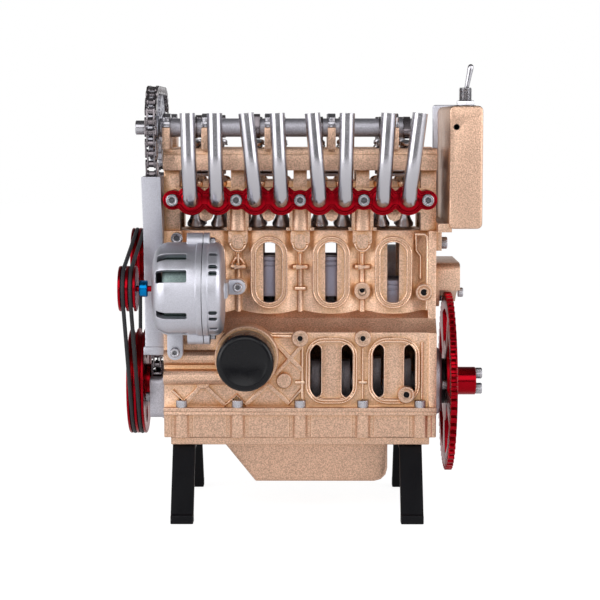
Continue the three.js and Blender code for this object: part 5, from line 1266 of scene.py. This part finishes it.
def floor_finish():
    """White studio paper, which keeps a faint shadow."""
    material = cleared(bpy.data.materials.new("studio_paper"))
    node = partial(add_node, material)
    paper = node("BsdfDiffuse", {"Color": (*linear("F2F2F2"), 1)})
    glow = node("Emission", {"Color": (1, 1, 1, 1), "Strength": 1.2})
    mirrored, looked_at = seen(material)
    plain = node("Math", {0: looked_at, 1: 0.6}, operation="MULTIPLY")
    share = node("Math", {0: mirrored, 1: 0.15, 2: plain}, operation="MULTIPLY_ADD")
    both = node("MixShader", {0: share, 1: paper, 2: glow})
    node("OutputMaterial", {"Surface": both})
    return material


def backdrop():
    """A world that is full white where the camera sees it and softer as a light.

    In mirrors the backdrop is white, the room in front of the object dim, and the ceiling grey.
    """
    world = cleared(bpy.data.worlds.new("studio"))
    node = partial(add_node, world)
    way = node("SeparateXYZ", {"Vector": node("TexCoord", {}).outputs["Generated"]}).outputs
    room = node("MapRange", {"Value": way["Y"], "From Min": -0.9, "From Max": -0.7, "To Min": 0.08})
    ceiling = node(
        "MapRange", {"Value": way["Z"], "From Min": 0.08, "From Max": 0.5, "To Min": 1.0, "To Max": 0.12}
    )
    mirrored, looked_at = seen(world)
    shade = node("Math", {0: room, 1: ceiling}, operation="MULTIPLY")
    level = node("Math", {0: shade, 1: looked_at}, operation="MAXIMUM")
    lit = node("Background", {"Color": (1, 1, 1, 1), "Strength": 0.45})
    white = node("Background", {"Color": (1, 1, 1, 1), "Strength": level})
    both = node("MixShader", {0: mirrored, 1: lit, 2: white})
    node("OutputWorld", {"Surface": both})
    return world


class ENGINE_OT_stage(bpy.types.Operator):
    """Sets the camera, the pale floor, the lamps and the white backdrop."""

    bl_idname = "engine.stage"
    bl_label = "Stage"

    def execute(self, context):
        scene = context.scene
        bpy.ops.object.select_all(action="DESELECT")
        bpy.ops.object.camera_add(location=at(3.06, -827.1, 177.3))
        camera = bpy.context.object
        camera.data.sensor_width = 36
        camera.data.lens = 108
        # The view falls by 178 and turns by 7 in 1800 pixels
        camera.rotation_euler = (math.pi / 2 - math.atan(178 / 1800), 0, math.atan(7 / 1800))
        camera.data.clip_end = 20
        scene.camera = camera
        scene.view_settings.view_transform = "Standard"

        bpy.ops.mesh.primitive_plane_add(size=4.6, location=(0, 0.8, -0.0001))
        floor = bpy.context.object
        floor.name = "floor"
        floor.data.materials.append(floor_finish())

        for spot, power in LAMPS:
            bpy.ops.object.light_add(type="AREA", location=spot)
            lamp = bpy.context.object
            lamp.data.shape = "SQUARE"
            lamp.data.size = LAMP_WIDTH
            lamp.data.energy = power
            aim = Vector((0, 0, 0.11)) - Vector(spot)
            lamp.rotation_euler = aim.to_track_quat("-Z", "Y").to_euler()
        scene.world = backdrop()
        return {"FINISHED"}


STEPS = (
    ENGINE_OT_finishes,
    ENGINE_OT_stage,
    ENGINE_OT_castings,
    ENGINE_OT_beads,
    ENGINE_OT_oil_filter,
    ENGINE_OT_flange,
    ENGINE_OT_pipes,
    ENGINE_OT_alternator,
    ENGINE_OT_pulleys,
    ENGINE_OT_belts,
    ENGINE_OT_chain,
    ENGINE_OT_camshafts,
    ENGINE_OT_valves,
    ENGINE_OT_pistons,
    ENGINE_OT_flywheel,
    ENGINE_OT_switch,
    ENGINE_OT_screws,
)


class ENGINE_PT_panel(bpy.types.Panel):
    """Lists the steps, sizes and colours of the engine model."""

    bl_idname = "ENGINE_PT_panel"
    bl_label = "Engine model"
    bl_space_type = "VIEW_3D"
    bl_region_type = "UI"
    bl_category = "Engine"

    def draw(self, context):
        for group in (context.scene.engine_sizes, context.scene.engine_colours):
            for name in group.__annotations__:
                self.layout.prop(group, name)
        for step in STEPS:
            self.layout.operator(step.bl_idname)


def register():
    for kind in (EngineColours, EngineSizes, *STEPS, ENGINE_PT_panel):
        bpy.utils.register_class(kind)
    bpy.types.Scene.engine_colours = bpy.props.PointerProperty(type=EngineColours)
    bpy.types.Scene.engine_sizes = bpy.props.PointerProperty(type=EngineSizes)


def unregister():
    del bpy.types.Scene.engine_sizes
    del bpy.types.Scene.engine_colours
    for kind in (ENGINE_PT_panel, *reversed(STEPS), EngineSizes, EngineColours):
        bpy.utils.unregister_class(kind)


def main():
    register()
    for step in STEPS:
        group, name = step.bl_idname.split(".")
        getattr(getattr(bpy.ops, group), name)()


if __name__ == "__main__":
    main()
